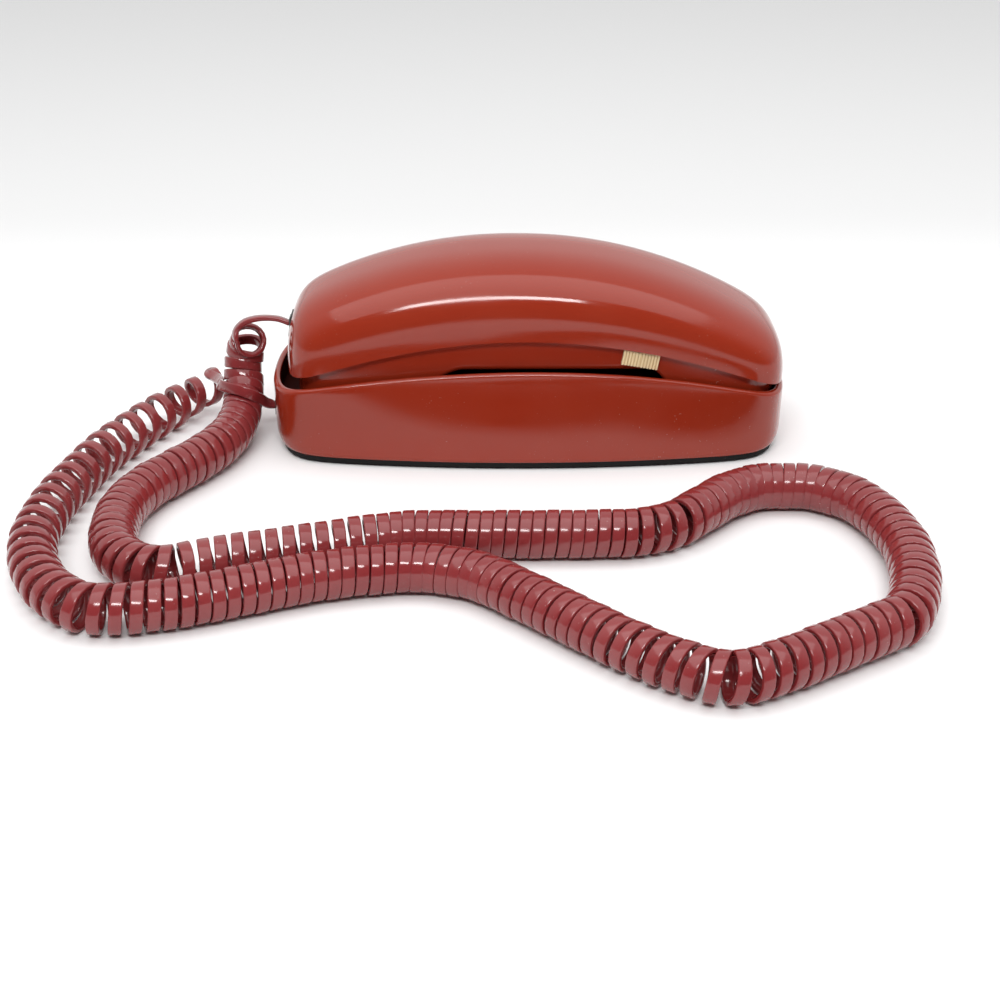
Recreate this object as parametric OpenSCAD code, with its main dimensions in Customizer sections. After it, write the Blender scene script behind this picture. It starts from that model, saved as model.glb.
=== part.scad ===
// Slim desk and wall telephone: a boat-shaped base, a one-piece-looking handset that
// lies face down in it with the keypad in its face, and a long curly handset cord.
// X runs along the phone, with the cord ends at -X and the earpiece at +X. Z is up.
// The origin is on the table under the middle of the phone, cord left out.

/* [Base] */
// Length of the base over its rim
base_len = 219; // [212:1:232]
// Width of the base over its rim at the middle
base_w = 78; // [76:0.2:84]
// How far each long side draws in from the middle to the ends, at the rim
side_bow = 3.2; // [2:0.2:5]
// How much further out the wall's bottom stands than its rim, at the middle of each side
foot_belly = 3; // [2:0.2:3.6]
// Height of the rim above the table at the middle of the long sides
rim_mid_z = 42.7; // [41.5:0.2:46]
// Height of the rim above the table at the cord end
rim_end_z = 31.1; // [30:0.1:34]
// Height of the rim above the table at the ear end
rim_ear_z = 28.7; // [28:0.1:32]
// Thickness of the housing's outer wall and of its rim
base_wall = 2.9; // [2.4:0.1:3.2]
// Thickness of the cradle deck inside the rim
deck_t = 2.4; // [1.8:0.1:2.6]
// Thickness of the black bottom plate
plate_t = 2.2; // [1.8:0.1:3]
// Height of the rubber feet
foot_h = 1.2; // [1:0.1:2.5]
// Radius of a rubber foot
foot_r = 5; // [4:0.5:7]

/* [Wall fixing] */
// Distance between the two wall studs
stud_pitch = 103.2; // [96:0.1:108]
// Radius of the round part of a keyhole
keyhole_r = 5.5; // [5:0.1:6]
// Radius of the narrow end of a keyhole
keyslot_r = 2.6; // [2.2:0.1:3]
// Distance from a keyhole's round part to either of its narrow ends
keyslot_run = 8; // [7:0.5:10]

/* [Handset] */
// Gap at the cord end between the handset and the outside of the base
cord_gap = 6.6; // [5.5:0.1:8]
// How far each long side of the handset stands inside the base's outline
hs_step = 1.3; // [0.8:0.1:1.6]
// Height of the face shell that shows between the rim and the outer shell
side_show = 13.4; // [12.4:0.1:14.4]
// Gap between the outer shell's lower edge and the rim at the cord end
edge_gap = 3.9; // [2:0.1:4.5]
// Gap between the outer shell's lower edge and the rim at the ear end
ear_gap = 2.5; // [0.5:0.1:3]
// Height of the crown over the middle of the outer shell's lower edge
crown_h = 29.2; // [27:0.2:32]
// How far the crown falls from its top to the ends of the handset
crown_fall = 29.8; // [26:0.2:32]
// Wall thickness of the outer shell
back_wall = 2.4; // [1.8:0.1:2.5]
// Wall thickness of the face shell
face_wall = 2.2; // [1.8:0.1:2.4]
// How far the face shell's sides stand inside the outer shell
face_inset = 3; // [2.9:0.1:3.4]
// Depth of the face below the outer shell's lower edge at the middle
face_depth = 14.2; // [13.8:0.1:14.8]
// How far the ear and mouth cups reach below the rim of the ear end
cup_drop = 7; // [6:0.1:7.2]

/* [Keys] */
// Length of a key along the phone
key_x = 8.4; // [7.4:0.1:8.8]
// Width of a key across the phone
key_y = 11; // [10:0.1:11.6]
// Distance between rows of keys
row_pitch = 12.4; // [12.2:0.1:12.8]
// Distance between columns of keys
col_pitch = 15; // [14.4:0.1:15.4]
// How far a key stands out of the keypad plate
key_out = 2; // [1.6:0.1:2.6]
// How far a key can be pressed
key_travel = 1.5; // [1:0.1:1.6]

/* [Switches] */
// How far the hook plunger rises when the handset is lifted
hook_travel = 3.5; // [2.5:0.1:4]
// Radius of the hook plunger's stem
plunger_r = 3.4; // [2.8:0.1:3.8]
// Length of the volume slider's knob
volume_len = 14.8; // [13:0.2:17]
// How far the volume slider moves each way
volume_travel = 2.5; // [2:0.1:3]
// How far the ringer slider moves each way
ringer_travel = 2; // [1.5:0.1:2.5]

/* [Cord] */
// Outer diameter of the curly cord
coil_od = 18.8; // [17:0.1:19]
// Diameter of the cord's round form
cord_d = 4.2; // [3.6:0.1:4.4]
// Number of curls in the cord's form
curls = 88; // [60:1:90]

/* [Hidden] */

// Colours
RED = [0.62, 0.26, 0.20];
CORD_RED = [0.58, 0.27, 0.28];
BLACK = [0.06, 0.06, 0.06];
CREAM = [0.90, 0.86, 0.74];
BOARD = [0.15, 0.40, 0.22];
STEEL = [0.72, 0.73, 0.75];
CLEAR = [0.80, 0.84, 0.86, 0.6];
CARD = [0.93, 0.92, 0.88];

// Clearances: a resting face, a sliding fit, a shaft in its bore, a part in its opening
seat = 0.3;
slip = 0.2;
running = 0.08;
eps = 0.01;
FN = 48;

// Plan outline of base and handset: how squarely the ends turn
base_end_n = 20;
hs_end_n = 20;
crown_end_n = 31;
bottom_end_n = 18;
end_m = 2.2;

// Heights from the table up
plate_z = foot_h;
floor_z = plate_z + plate_t;
edge_mid_z = rim_mid_z + side_show;
crown_z = edge_mid_z + crown_h;
cup_z = rim_ear_z - cup_drop;
face_z = edge_mid_z - face_depth;
deck_cup_z = cup_z - seat;
deck_room = 4.5;
deck_z = face_z - deck_room;

// Lengths of base and handset
base_a = base_len / 2;
end_flush = 0.5;
hs_left = -base_a + cord_gap;
hs_right = base_a - end_flush;
hs_a = (hs_right - hs_left) / 2;
hs_c = (hs_right + hs_left) / 2;
hs_w = base_w - 2 * hs_step;
face_end_inset = 4;
face_a = hs_a - face_end_inset;
face_w = hs_w - 2 * face_inset;
face_left = hs_c - face_a;
face_right = hs_c + face_a;

// Keypad: places of its keys and of its edges along the handset, counted from the
// hook plunger, which stands on the flat beside the ear cup's slope
ear_slope = 56;
plunger_room = 3;
plunger_x = face_right - ear_slope - plunger_room;
pad_room = 9;
pad_edge = 3;
recall_x = 6;
recall_y = 24;
recall_pitch = 12;
pad_top_row = 1.5 * row_pitch;
pad_x1 = pad_top_row + key_x / 2 + pad_edge;
pad_x0 = -pad_top_row - recall_pitch - recall_x / 2 - pad_edge;
pad_y = 2 * col_pitch + key_y + 2 * pad_edge;
pad_c = plunger_x - pad_room - pad_x1;
pad_mid = pad_c + (pad_x0 + pad_x1) / 2;
pad_len = pad_x1 - pad_x0;

// Face profile, as distances from either end of the face shell. The mouth cup's slope
// ends beside the keypad.
cup_near = 8;
cup_far = 36;
slope_room = 1.5;
mouth_slope = pad_mid - pad_len / 2 - slope_room - face_left;
end_rise = 3;
face_round = 3;
deck_shift = 3;
cup_mid = (cup_near + cup_far) / 2;
ear_x = face_right - cup_mid;
mouth_x = face_left + cup_mid;

// Section of the outer shell: superellipse exponents across and up
arch_across = 2.8;
arch_up = 3;
crown_power = 2.12;
crown_shift = -9.5;
edge_peak = -2.4;
edge_power = 1.93;

// ---------- shapes shared by the shells ----------

function smooth(t) = let (c = max(0, min(1, t))) c * c * (3 - 2 * c);

// Half-width of a plan outline at x, measured from its middle
function end_turn(u, n) = pow(max(0, 1 - pow(min(1, abs(u)), n)), 1 / end_m);
function plan_half(x, a, w, n) =
    let (u = min(1, abs(x) / a)) (w / 2 - side_bow * u * u) * end_turn(u, n);

// Distances from the end at which a shell's sections stand: close at the rounded end
end_zone = 14;
turn_steps = 7;
function near_end() =
    [for (i = [0 : turn_steps]) end_zone * pow(i / turn_steps, 2.2)];
function fine_steps() = concat(near_end(), [for (e = [18 : 4 : 66]) e]);
function coarse_steps() = concat(near_end(), [for (e = [20 : 8 : 60]) e]);

// Section places along a shell of half-length a, from -a to a
mid_parts = 8;
function places(a, steps) =
    let (last = steps[len(steps) - 1], m = a - last)
    concat(
        [for (e = steps) e - a],
        [for (i = [1 : mid_parts - 1]) -m + 2 * m * i / mid_parts],
        [for (i = [len(steps) - 1 : -1 : 0]) a - steps[i]]
    );

function rim_z(x) =
    let (
        u = max(-1, min(1, x / base_a)),
        end_z = (rim_end_z * (1 - u) + rim_ear_z * (1 + u)) / 2
    )
    rim_mid_z - (rim_mid_z - end_z) * u * u;

function edge_z(x) =
    let (
        left = x < edge_peak,
        u = min(1, left ? (x - edge_peak) / (hs_left - edge_peak)
            : (x - edge_peak) / (hs_right - edge_peak)),
        end_z = left ? rim_end_z + edge_gap : rim_ear_z + ear_gap
    )
    edge_mid_z - (edge_mid_z - end_z) * pow(u, edge_power);

function top_z(x) =
    crown_z - crown_fall * pow(abs(x - hs_c - crown_shift) / hs_a, crown_power);

// How far the face has risen out of the cups at x, from 0 to 1
function arch_share(x, shift) =
    smooth(min(
        (x - face_left - shift - cup_far) / (mouth_slope - cup_far),
        (face_right - x - shift - cup_far) / (ear_slope - cup_far)
    ));

function face_at(x) =
    let (s = min(x - face_left, face_right - x))
    cup_z + (face_z - cup_z) * arch_share(x, 0)
    + end_rise * pow(max(0, 1 - s / cup_near), 2);

function deck_at(x) = deck_cup_z + (deck_z - deck_cup_z) * arch_share(x, deck_shift);

// A closed solid from patches, each a grid of points. Neighbouring patches share
// their border points; a cell that has shrunk to a line or a point is left out.
function patch_faces(p, start) =
    let (cols = len(p[0]))
    [
        for (r = [0 : len(p) - 2])
            for (c = [0 : cols - 2])
                let (
                    a = p[r][c], b = p[r][c + 1], d = p[r + 1][c], e = p[r + 1][c + 1],
                    ia = start + r * cols + c, ib = ia + 1,
                    id = ia + cols, ie = id + 1
                )
                each concat(
                    distinct(a, b, e) ? [[ia, ib, ie]] : [],
                    distinct(a, e, d) ? [[ia, ie, id]] : []
                )
    ];
function distinct(a, b, c) =
    norm(a - b) > eps / 10 && norm(b - c) > eps / 10 && norm(a - c) > eps / 10;

function starts(patches) =
    [for (i = 0, s = 0; i < len(patches);
          s = s + len(patches[i]) * len(patches[i][0]), i = i + 1) s];

module skin(patches) {
    at = starts(patches);
    polyhedron(
        points = [for (p = patches) for (row = p) each row],
        faces = [for (i = [0 : len(patches) - 1]) each patch_faces(patches[i], at[i])],
        convexity = 8
    );
}

function reversed(v) = [for (i = [len(v) - 1 : -1 : 0]) v[i]];

// Lays out a box with four true quarter-round corners, standing on z = 0
module rounded_box(x, y, h, r) {
    linear_extrude(h) {
        square([x - 2 * r, y], center = true);
        square([x, y - 2 * r], center = true);
        for (sx = [-1, 1])
            for (sy = [-1, 1])
                translate([sx * (x / 2 - r), sy * (y / 2 - r)])
                    circle(r, $fn = FN);
    }
}

module box_at(size, at) {
    translate([at[0] - size[0] / 2, at[1] - size[1] / 2, at[2]])
        cube(size);
}

module pegs(places_xy, r, z0, z1) {
    for (p = places_xy)
        translate([p[0], p[1], z0])
            cylinder(r = r, h = z1 - z0, $fn = FN);
}

// ---------- base housing ----------

base_bottom_step = 0.5;
bottom_draw = 1.5;
foot_bow = 6.5;
bottom_round = 6;
boss_r = 3.6;
pilot_r = 1.15;
base_screw_in = 21.5;
base_screw_y = 15;
base_screw_xy = [
    for (sx = [-1, 1])
        for (sy = [-1, 1]) [sx * (base_a - base_screw_in), sy * base_screw_y]
];

// The wall leans in from the bottom to the rim at the middle of each side, and out at
// the ends, where the bottom is also rounder
function hull_share(x, z) =
    max(0, min(1, (z - floor_z) / (rim_z(x) - floor_z)));
function hull_half(x, z, a, inset) =
    let (
        s = hull_share(x, z),
        u = min(1, abs(x) / a),
        wider = (1 - s) * (foot_belly - foot_bow * u * u)
    )
    plan_half(x, a, base_w - 2 * inset + 2 * wider,
        bottom_end_n + (base_end_n - bottom_end_n) * s);

// One ring round the base: inset from the outline, and a height that is mixed
// from the bottom edge, the rim and the deck
function base_ring(inset, rim_share, deck_share, lift) =
    let (
        low = rim_share + deck_share > 0 ? 0 : pow(max(0, 1 - lift / bottom_round), 2),
        a = base_a - inset - low * bottom_draw,
        xs = places(a, fine_steps()),
        n = len(xs),
        zs = [for (x = xs)
            floor_z * (1 - rim_share - deck_share) + rim_z(x) * rim_share
            + deck_at(x) * deck_share + lift],
        ws = [for (i = [0 : n - 1]) hull_half(xs[i], zs[i], a, inset)]
    )
    concat(
        [for (i = [0 : n - 1]) [xs[i], -ws[i], zs[i]]],
        [for (i = [n - 2 : -1 : 0]) [xs[i], ws[i], zs[i]]]
    );

// Strips from the near side of a ring to its far side
function across(ring) =
    let (n = (len(ring) + 1) / 2)
    [for (i = [0 : n - 1]) [ring[i], ring[len(ring) - 1 - i]]];

lip_r = base_wall / 2;

module housing_shell() {
    inner_foot = base_ring(base_wall, 0, 0, 0);
    deck_edge = base_ring(base_wall, 0, 1, 0);
    under_edge = base_ring(base_wall, 0, 1, -deck_t);
    wall_rings = concat(
        [
            inner_foot,
            base_ring(base_bottom_step, 0, 0, 0),
            base_ring(base_bottom_step / 4, 0, 0, bottom_round / 4),
            base_ring(0, 0, 0, bottom_round * 0.6),
            base_ring(0, 0, 0, bottom_round)
        ],
        [for (a = [0 : 36 : 180])
            base_ring(lip_r * (1 - cos(a)), 1, 0, -lip_r + lip_r * sin(a))],
        [deck_edge]
    );
    skin([
        wall_rings,
        across(deck_edge),
        [under_edge, inner_foot],
        across(reversed(under_edge))
    ]);
}

// Wall round the hook plunger's bore
guide_wall = 2.4;

// Jacks: size of a modular jack body and of its cavity
jack_w = 12.4;
jack_h = 11.6;
jack_l = 15;
jack_drop = 0.7;
jack_z = deck_cup_z - deck_t - jack_drop - jack_h / 2;
jack_back = 3;
plug_w = 7.7;
plug_h = 6.5;
latch_w = 3;
latch_h = 0.9;
latch_l = 7.5;
latch_slide = 0.5;
line_plug_w = 9.7;
jack_recess = 0.5;
hole_depth = 7;

line_jack_x = -50;
line_jack_y = hull_half(line_jack_x, jack_z, base_a, 0) - jack_recess;
cord_jack_x = -base_a + bottom_draw / 2 + jack_recess;

// Ringer switch: a slot in the far wall
ringer_x = 42;
ringer_z = 17;
ringer_knob_x = 4.5;
ringer_knob_z = 3.4;
ringer_slot_x = ringer_knob_x + 2 * ringer_travel + 2 * slip;
ringer_wall_y = hull_half(ringer_x, ringer_z, base_a, 0);
ringer_bow = side_bow + foot_bow * (1 - hull_share(ringer_x, ringer_z));
ringer_turn = -atan(2 * ringer_bow * ringer_x / (base_a * base_a));

module at_ringer() {
    translate([ringer_x, ringer_wall_y, ringer_z])
        rotate([0, 0, ringer_turn])
            children();
}

// Number card pocket on the flat of the deck
card_x = 52;
card_y = 34;
card_t = 0.3;
window_edge = 2;
pocket_depth = 1.3;
pocket_x = card_x + 2 * window_edge + 2 * slip;
pocket_y = card_y + 2 * window_edge + 2 * slip;
card_c = plunger_x - plunger_r - guide_wall - 2 - pocket_x / 2;

module base_housing() {
    color(RED)
    difference() {
        union() {
            housing_shell();
            pegs([[plunger_x, 0]], plunger_r + guide_wall, guide_z, deck_z - deck_t / 2);
            pegs(base_screw_xy, boss_r, floor_z + eps, deck_cup_z - deck_t / 2);
        }
        pegs([[plunger_x, 0]], plunger_r + running, guide_z - 1, deck_z + 1);
        pegs(base_screw_xy, pilot_r, floor_z - 1, deck_cup_z - deck_t - 1);
        box_at([2 * hole_depth, jack_w + 2 * slip, jack_h + 2 * slip],
            [-base_a, 0, jack_z - jack_h / 2 - slip]);
        box_at([jack_w + 2 * slip, 2 * hole_depth, jack_h + 2 * slip],
            [line_jack_x, line_jack_y, jack_z - jack_h / 2 - slip]);
        at_ringer()
            box_at([ringer_slot_x, 12, ringer_knob_z + 2 * slip], [0, 0, -ringer_knob_z / 2 - slip]);
        box_at([pocket_x, pocket_y, pocket_depth + 1], [card_c, 0, deck_z - pocket_depth]);
    }
}

// ---------- bottom plate, feet and screws ----------

plate_inset = base_bottom_step + 0.3;
board_lift = 5.5;
board_t = 1.6;
board_end_room = 46.5;
board_side_room = 19;
base_board_x = base_len - 2 * board_end_room;
base_board_y = base_w - 2 * board_side_room;
board_peg_in = 5;
board_z = floor_z + board_lift;
board_peg_xy = [
    for (sx = [-1, 1])
        for (sy = [-1, 1])
            [sx * (base_board_x / 2 - board_peg_in), sy * (base_board_y / 2 - board_peg_in)]
];
peg_r = 3;
screw_hole_r = 1.7;
foot_in = 38;
foot_y = 24;
foot_chamfer = 0.8;
foot_xy = [for (sx = [-1, 1]) for (sy = [-1, 1]) [sx * (base_a - foot_in), sy * foot_y]];
screw_head_r = 3;
screw_head_h = 1.4;
sound_slot_x = 2;
sound_slot_y = 12;
sound_slot_pitch = 4;
sounder_room = 24;
sounder_x = plunger_x - sounder_room;
sounder_y = -6;
sounder_r = 11;

function plate_points() =
    let (
        a = base_a - plate_inset - bottom_draw,
        xs = places(a, coarse_steps()),
        ws = [for (x = xs) hull_half(x, floor_z, a, plate_inset)],
        n = len(xs)
    )
    concat(
        [for (i = [0 : n - 1]) [xs[i], -ws[i]]],
        [for (i = [n - 2 : -1 : 1]) [xs[i], ws[i]]]
    );

module keyhole(x) {
    translate([x, 0, plate_z - 1]) {
        cylinder(r = keyhole_r, h = plate_t + 2, $fn = FN);
        for (s = [-1, 1])
            translate([s * keyslot_run, 0, 0])
                cylinder(r = keyslot_r, h = plate_t + 2, $fn = FN);
        translate([-keyslot_run, -keyslot_r, 0])
            cube([2 * keyslot_run, 2 * keyslot_r, plate_t + 2]);
    }
}

module base_plate() {
    color(BLACK)
    difference() {
        union() {
            translate([0, 0, plate_z])
                linear_extrude(plate_t)
                    polygon(plate_points());
            pegs(board_peg_xy, peg_r, floor_z - eps, board_z);
        }
        pegs(board_peg_xy, pilot_r, floor_z + 0.5, board_z + 1);
        pegs(base_screw_xy, screw_hole_r, plate_z - 1, floor_z + 1);
        pegs(base_screw_xy, screw_head_r + slip, plate_z - 1, plate_z + screw_head_h);
        keyhole(-stud_pitch / 2);
        keyhole(stud_pitch / 2);
        for (i = [-2 : 2])
            box_at([sound_slot_x, sound_slot_y, plate_t + 2],
                [sounder_x + sound_slot_pitch * i, sounder_y, plate_z - 1]);
    }
}

module base_feet() {
    color([0.10, 0.10, 0.10])
        for (p = foot_xy)
            translate([p[0], p[1], 0])
                rotate_extrude($fn = FN)
                    polygon([
                        [0, 0], [foot_r - foot_chamfer, 0], [foot_r, min(foot_chamfer, foot_h / 2)],
                        [foot_r, foot_h], [0, foot_h]
                    ]);
}

// A screw standing head down on z = 0, with a cross recess in its head
module screw(head_r, head_h, shank_r, length) {
    difference() {
        union() {
            cylinder(r = head_r, h = head_h, $fn = FN);
            cylinder(r = shank_r, h = length, $fn = FN);
        }
        for (a = [0, 90])
            rotate([0, 0, a])
                translate([-head_r * 0.6, -0.35, -eps])
                    cube([head_r * 1.2, 0.7, head_h * 0.6]);
    }
}

base_screw_len = 9;
base_screw_seat = 0.05;

module base_screws() {
    color(STEEL)
        for (p = base_screw_xy)
            translate([p[0], p[1], plate_z])
                screw(screw_head_r, screw_head_h - base_screw_seat, pilot_r - 0.05, base_screw_len);
}

// ---------- base electronics ----------

module base_board() {
    color(BOARD)
    difference() {
        union() {
            box_at([base_board_x, base_board_y, board_t], [0, 0, board_z]);
            box_at([18, base_board_y / 2 + 8, board_t], [ringer_x, base_board_y / 4 + 4, board_z]);
        }
        pegs(board_peg_xy, screw_hole_r, board_z - 1, board_z + board_t + 1);
    }
}

board_top = board_z + board_t;
board_screw_head = 1.6;
board_screw_shank = 5;

// A screw driven down from above, its head resting just over z
module screw_down(x, y, z) {
    translate([x, y, z + board_screw_head])
        mirror([0, 0, 1])
            screw(2.6, board_screw_head, pilot_r - 0.05, board_screw_head + board_screw_shank);
}

module base_board_screws() {
    color(STEEL)
        for (p = board_peg_xy)
            screw_down(p[0], p[1], board_top + eps);
}

// Modular jack body with its mouth at x = 0, facing -X, centred on y and z
module jack_body(width, height, mouth_w) {
    difference() {
        translate([0, -width / 2, -height / 2])
            cube([jack_l, width, height]);
        translate([-1, -mouth_w / 2 - slip, -plug_h / 2 - slip])
            cube([jack_l - jack_back + 1, mouth_w + 2 * slip, plug_h + 2 * slip]);
        translate([-1, -latch_w / 2 - slip, -plug_h / 2 - slip - latch_h - slip])
            cube([latch_l + 1 + latch_slide, latch_w + 2 * slip, latch_h + 2 * slip]);
    }
}

module line_jack() {
    color(BLACK)
        translate([line_jack_x, line_jack_y, jack_z])
            rotate([0, 0, -90])
                jack_body(jack_w, jack_h, line_plug_w);
}

module base_cord_jack() {
    color(BLACK)
        translate([cord_jack_x, 0, jack_z])
            jack_body(jack_w, jack_h, plug_w);
}

// Hook switch: a box on the board with a bore for the plunger's pin
hook_pin_r = 1.5;
hook_box_h = 7;
hook_box = 13;
hook_top = board_top + eps + hook_box_h;
spring_room = 5.5;
flange_t = 1.8;
flange_r = plunger_r + 1.6;
flange_z = hook_top + spring_room;
hook_pin_len = spring_room + 4;
plunger_top = face_z - seat;
guide_z = flange_z + flange_t + hook_travel + seat;

module hook_switch() {
    color(CREAM)
    difference() {
        box_at([hook_box, hook_box, hook_box_h], [plunger_x, 0, board_top + eps]);
        translate([plunger_x, 0, board_top + 1])
            cylinder(r = hook_pin_r + running, h = hook_box_h + 1, $fn = FN);
    }
}

// The plunger is turned about its own axis: pin, flange, stem and a domed top
module hook_plunger() {
    dome = 1.2;
    color(CREAM)
        translate([plunger_x, 0, 0])
            rotate_extrude($fn = FN)
                polygon([
                    [0, flange_z - hook_pin_len],
                    [hook_pin_r, flange_z - hook_pin_len],
                    [hook_pin_r, flange_z],
                    [flange_r, flange_z],
                    [flange_r, flange_z + flange_t],
                    [plunger_r, flange_z + flange_t],
                    [plunger_r, plunger_top - dome],
                    [plunger_r - dome, plunger_top],
                    [0, plunger_top]
                ]);
}

// Coil spring between the switch and the plunger's flange
spring_wire = 0.3;
spring_r = hook_pin_r + 1.2;
spring_turns = 4;
spring_steps = 10;
spring_sides = 6;

module hook_spring() {
    low = hook_top + slip + spring_wire;
    high = flange_z - slip - spring_wire;
    count = spring_turns * spring_steps;
    path = [for (i = [0 : count])
        [
            plunger_x + spring_r * cos(360 * i / spring_steps),
            spring_r * sin(360 * i / spring_steps),
            low + (high - low) * i / count
        ]];
    color(STEEL)
        tube(path, spring_wire, spring_sides);
}

// A round tube swept along points, closed at both ends. The rings are turned about
// a direction that no part of these paths runs along.
tube_ref = [0.7, -0.2, 0.69];
function unit(v) = v / norm(v);
function heading(p, i) =
    let (n = len(p) - 1)
    i == 0 ? unit(p[1] - p[0])
    : i == n ? unit(p[n] - p[n - 1])
    : unit(unit(p[i] - p[i - 1]) + unit(p[i + 1] - p[i]));
function tube_ring(p, i, r, sides) =
    let (t = heading(p, i), n1 = unit(cross(tube_ref, t)), n2 = cross(t, n1))
    [for (k = [0 : sides])
        let (a = 360 * (k % sides) / sides) p[i] + r * (cos(a) * n1 + sin(a) * n2)];

module tube(p, r, sides) {
    n = len(p) - 1;
    first = [for (k = [0 : sides]) p[0]];
    last = [for (k = [0 : sides]) p[n]];
    skin([concat([first], [for (i = [0 : n]) tube_ring(p, i, r, sides)], [last])]);
}

part_room = 2;
capacitor_y = -12;
capacitor_size = [17, 7, 11];
capacitor_x = sounder_x - sounder_r - part_room - capacitor_size[0] / 2;
transformer_y = -9;
transformer_size = [17, 20, 12];
transformer_x = capacitor_x - capacitor_size[0] / 2 - part_room - transformer_size[0] / 2;
winding_x = 10;
core_h = 4.5;

// A winding between the two halves of its core
module line_transformer() {
    core = [transformer_size[0], transformer_size[1], core_h];
    color([0.45, 0.40, 0.30])
        translate([transformer_x, transformer_y, board_top + eps]) {
            box_at(core, [0, 0, 0]);
            box_at([winding_x, transformer_size[1], transformer_size[2]], [0, 0, 0]);
            box_at(core, [0, 0, transformer_size[2] - core_h]);
        }
}

module line_capacitor() {
    color([0.70, 0.20, 0.14])
        translate([capacitor_x, capacitor_y, board_top + eps])
            rounded_box(capacitor_size[0], capacitor_size[1], capacitor_size[2], 1);
}

module chip(x, y, z, length, width, height) {
    pin_pitch = 2.54;
    pins = floor(length / pin_pitch);
    box_at([length, width, height - 0.8], [x, y, z + 0.8]);
    for (i = [0 : pins - 1])
        for (s = [-1, 1])
            box_at([0.6, 1.2, 2], [x + (i - (pins - 1) / 2) * pin_pitch, y + s * width / 2, z]);
}

chip_w = 6.4;
chip_h = 4.2;
ringer_chip_len = 20;
ringer_chip_y = 12;

module ringer_chip() {
    color(BLACK)
        chip(0, ringer_chip_y, board_top + eps, ringer_chip_len, chip_w, chip_h);
}

// Piezo sounder: a shallow drum with a sound hole, standing on the board
module ringer_sounder() {
    sounder_h = 8;
    color(BLACK)
        translate([sounder_x, sounder_y, board_top + eps])
            difference() {
                cylinder(r = sounder_r, h = sounder_h, $fn = FN);
                translate([0, 0, sounder_h - 2])
                    cylinder(r = 2, h = 3, $fn = FN);
            }
}

ringer_body_y = 6;

module ringer_switch() {
    stand_y = ringer_wall_y - base_wall - slip - ringer_body_y - 0.6;
    color(STEEL)
    difference() {
        union() {
            at_ringer()
                box_at([16, ringer_body_y, 8], [0, -base_wall - slip - ringer_body_y / 2 - 0.4, -4]);
            box_at([10, 8, ringer_z - board_top - 3.9 - eps], [ringer_x, stand_y - 0.2, board_top + eps]);
        }
        at_ringer()
            box_at([ringer_slot_x, 4, ringer_knob_z + 2 * slip],
                [0, -base_wall - slip - 1.8, -ringer_knob_z / 2 - slip]);
    }
}

module ringer_knob() {
    length = base_wall + 2.6;
    color(CREAM)
        at_ringer() {
            box_at([ringer_knob_x, length, ringer_knob_z], [0, -length / 2 + 0.4, -ringer_knob_z / 2]);
        }
}

module number_card() {
    color(CARD)
        box_at([card_x, card_y, card_t], [card_c, 0, deck_z - pocket_depth + 0.05]);
}

module card_window() {
    z = deck_z - pocket_depth + 0.05;
    color(CLEAR)
    difference() {
        translate([card_c, 0, z])
            rounded_box(pocket_x - 2 * slip, pocket_y - 2 * slip, pocket_depth + 0.2, 0.8);
        box_at([card_x + 2 * slip, card_y + 2 * slip, card_t + 0.15], [card_c, 0, z - 0.05]);
    }
}

// ---------- handset shells ----------

// Arches of the outer shell, one for each section place
arch_steps = 14;
function arches(inset, drop) =
    let (a = hs_a - inset, w = hs_w - 2 * inset)
    [
        for (x = places(a, coarse_steps()))
            let (
                half = plan_half(x, a, w, hs_end_n),
                low = edge_z(x + hs_c),
                high = (top_z(x + hs_c) - drop - low) * end_turn(x / a, crown_end_n)
            )
            [
                for (j = [0 : arch_steps])
                    let (
                        c = cos(180 * j / arch_steps),
                        s = max(0, sin(180 * j / arch_steps)),
                        y = sign(c) * pow(abs(c), 2 / arch_across),
                        z = pow(s, 2 / arch_up)
                    )
                    [hs_c + x, -half * y, low + high * z]
            ]
    ];

module arch_solid() {
    outer = arches(0, 0);
    foot_ring = [for (row = outer) [row[arch_steps], row[0]]];
    skin([outer, foot_ring]);
}

module back_shell() {
    outer = arches(0, 0);
    inner = arches(back_wall, back_wall);
    n = len(outer) - 1;
    skin([
        outer,
        [for (i = [0 : n]) reversed(inner[i])],
        [for (i = [0 : n]) [inner[i][0], outer[i][0]]],
        [for (i = [0 : n]) [outer[i][arch_steps], inner[i][arch_steps]]]
    ]);
}

// The handset's screws: two in each cup, driven up into columns of the outer shell
ear_screw_y = 19;
mouth_screw_y = 14;
hs_screw_xy = [
    for (s = [-1, 1]) [ear_x, s * ear_screw_y],
    for (s = [-1, 1]) [mouth_x, s * mouth_screw_y]
];
column_r = 3.2;
hs_head_r = 2.8;
hs_recess = 1.2;
column_z = cup_z + face_wall + seat;
hs_screw_len = 9;

hs_jack_drop = 10.5;
hs_jack_z = top_z(hs_left) - hs_jack_drop;
hs_jack_x = hs_left + 5.5;
hs_jack_w = 11.2;
hs_jack_h = 9.6;
hs_plug_out = 6.4;

module handset_back() {
    color(RED)
    difference() {
        union() {
            back_shell();
            intersection() {
                pegs(hs_screw_xy, column_r, column_z, crown_z);
                union() {
                    arch_solid();
                    box_at([2 * hs_a, face_w, edge_mid_z - column_z], [hs_c, 0, column_z]);
                }
            }
        }
        pegs(hs_screw_xy, pilot_r, column_z - 1, column_z + hs_screw_len + 1);
        box_at([12, plug_w + 1.2, plug_h + 2.4], [hs_left, 0, hs_jack_z - plug_h / 2 - 1.5]);
    }
}

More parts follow.
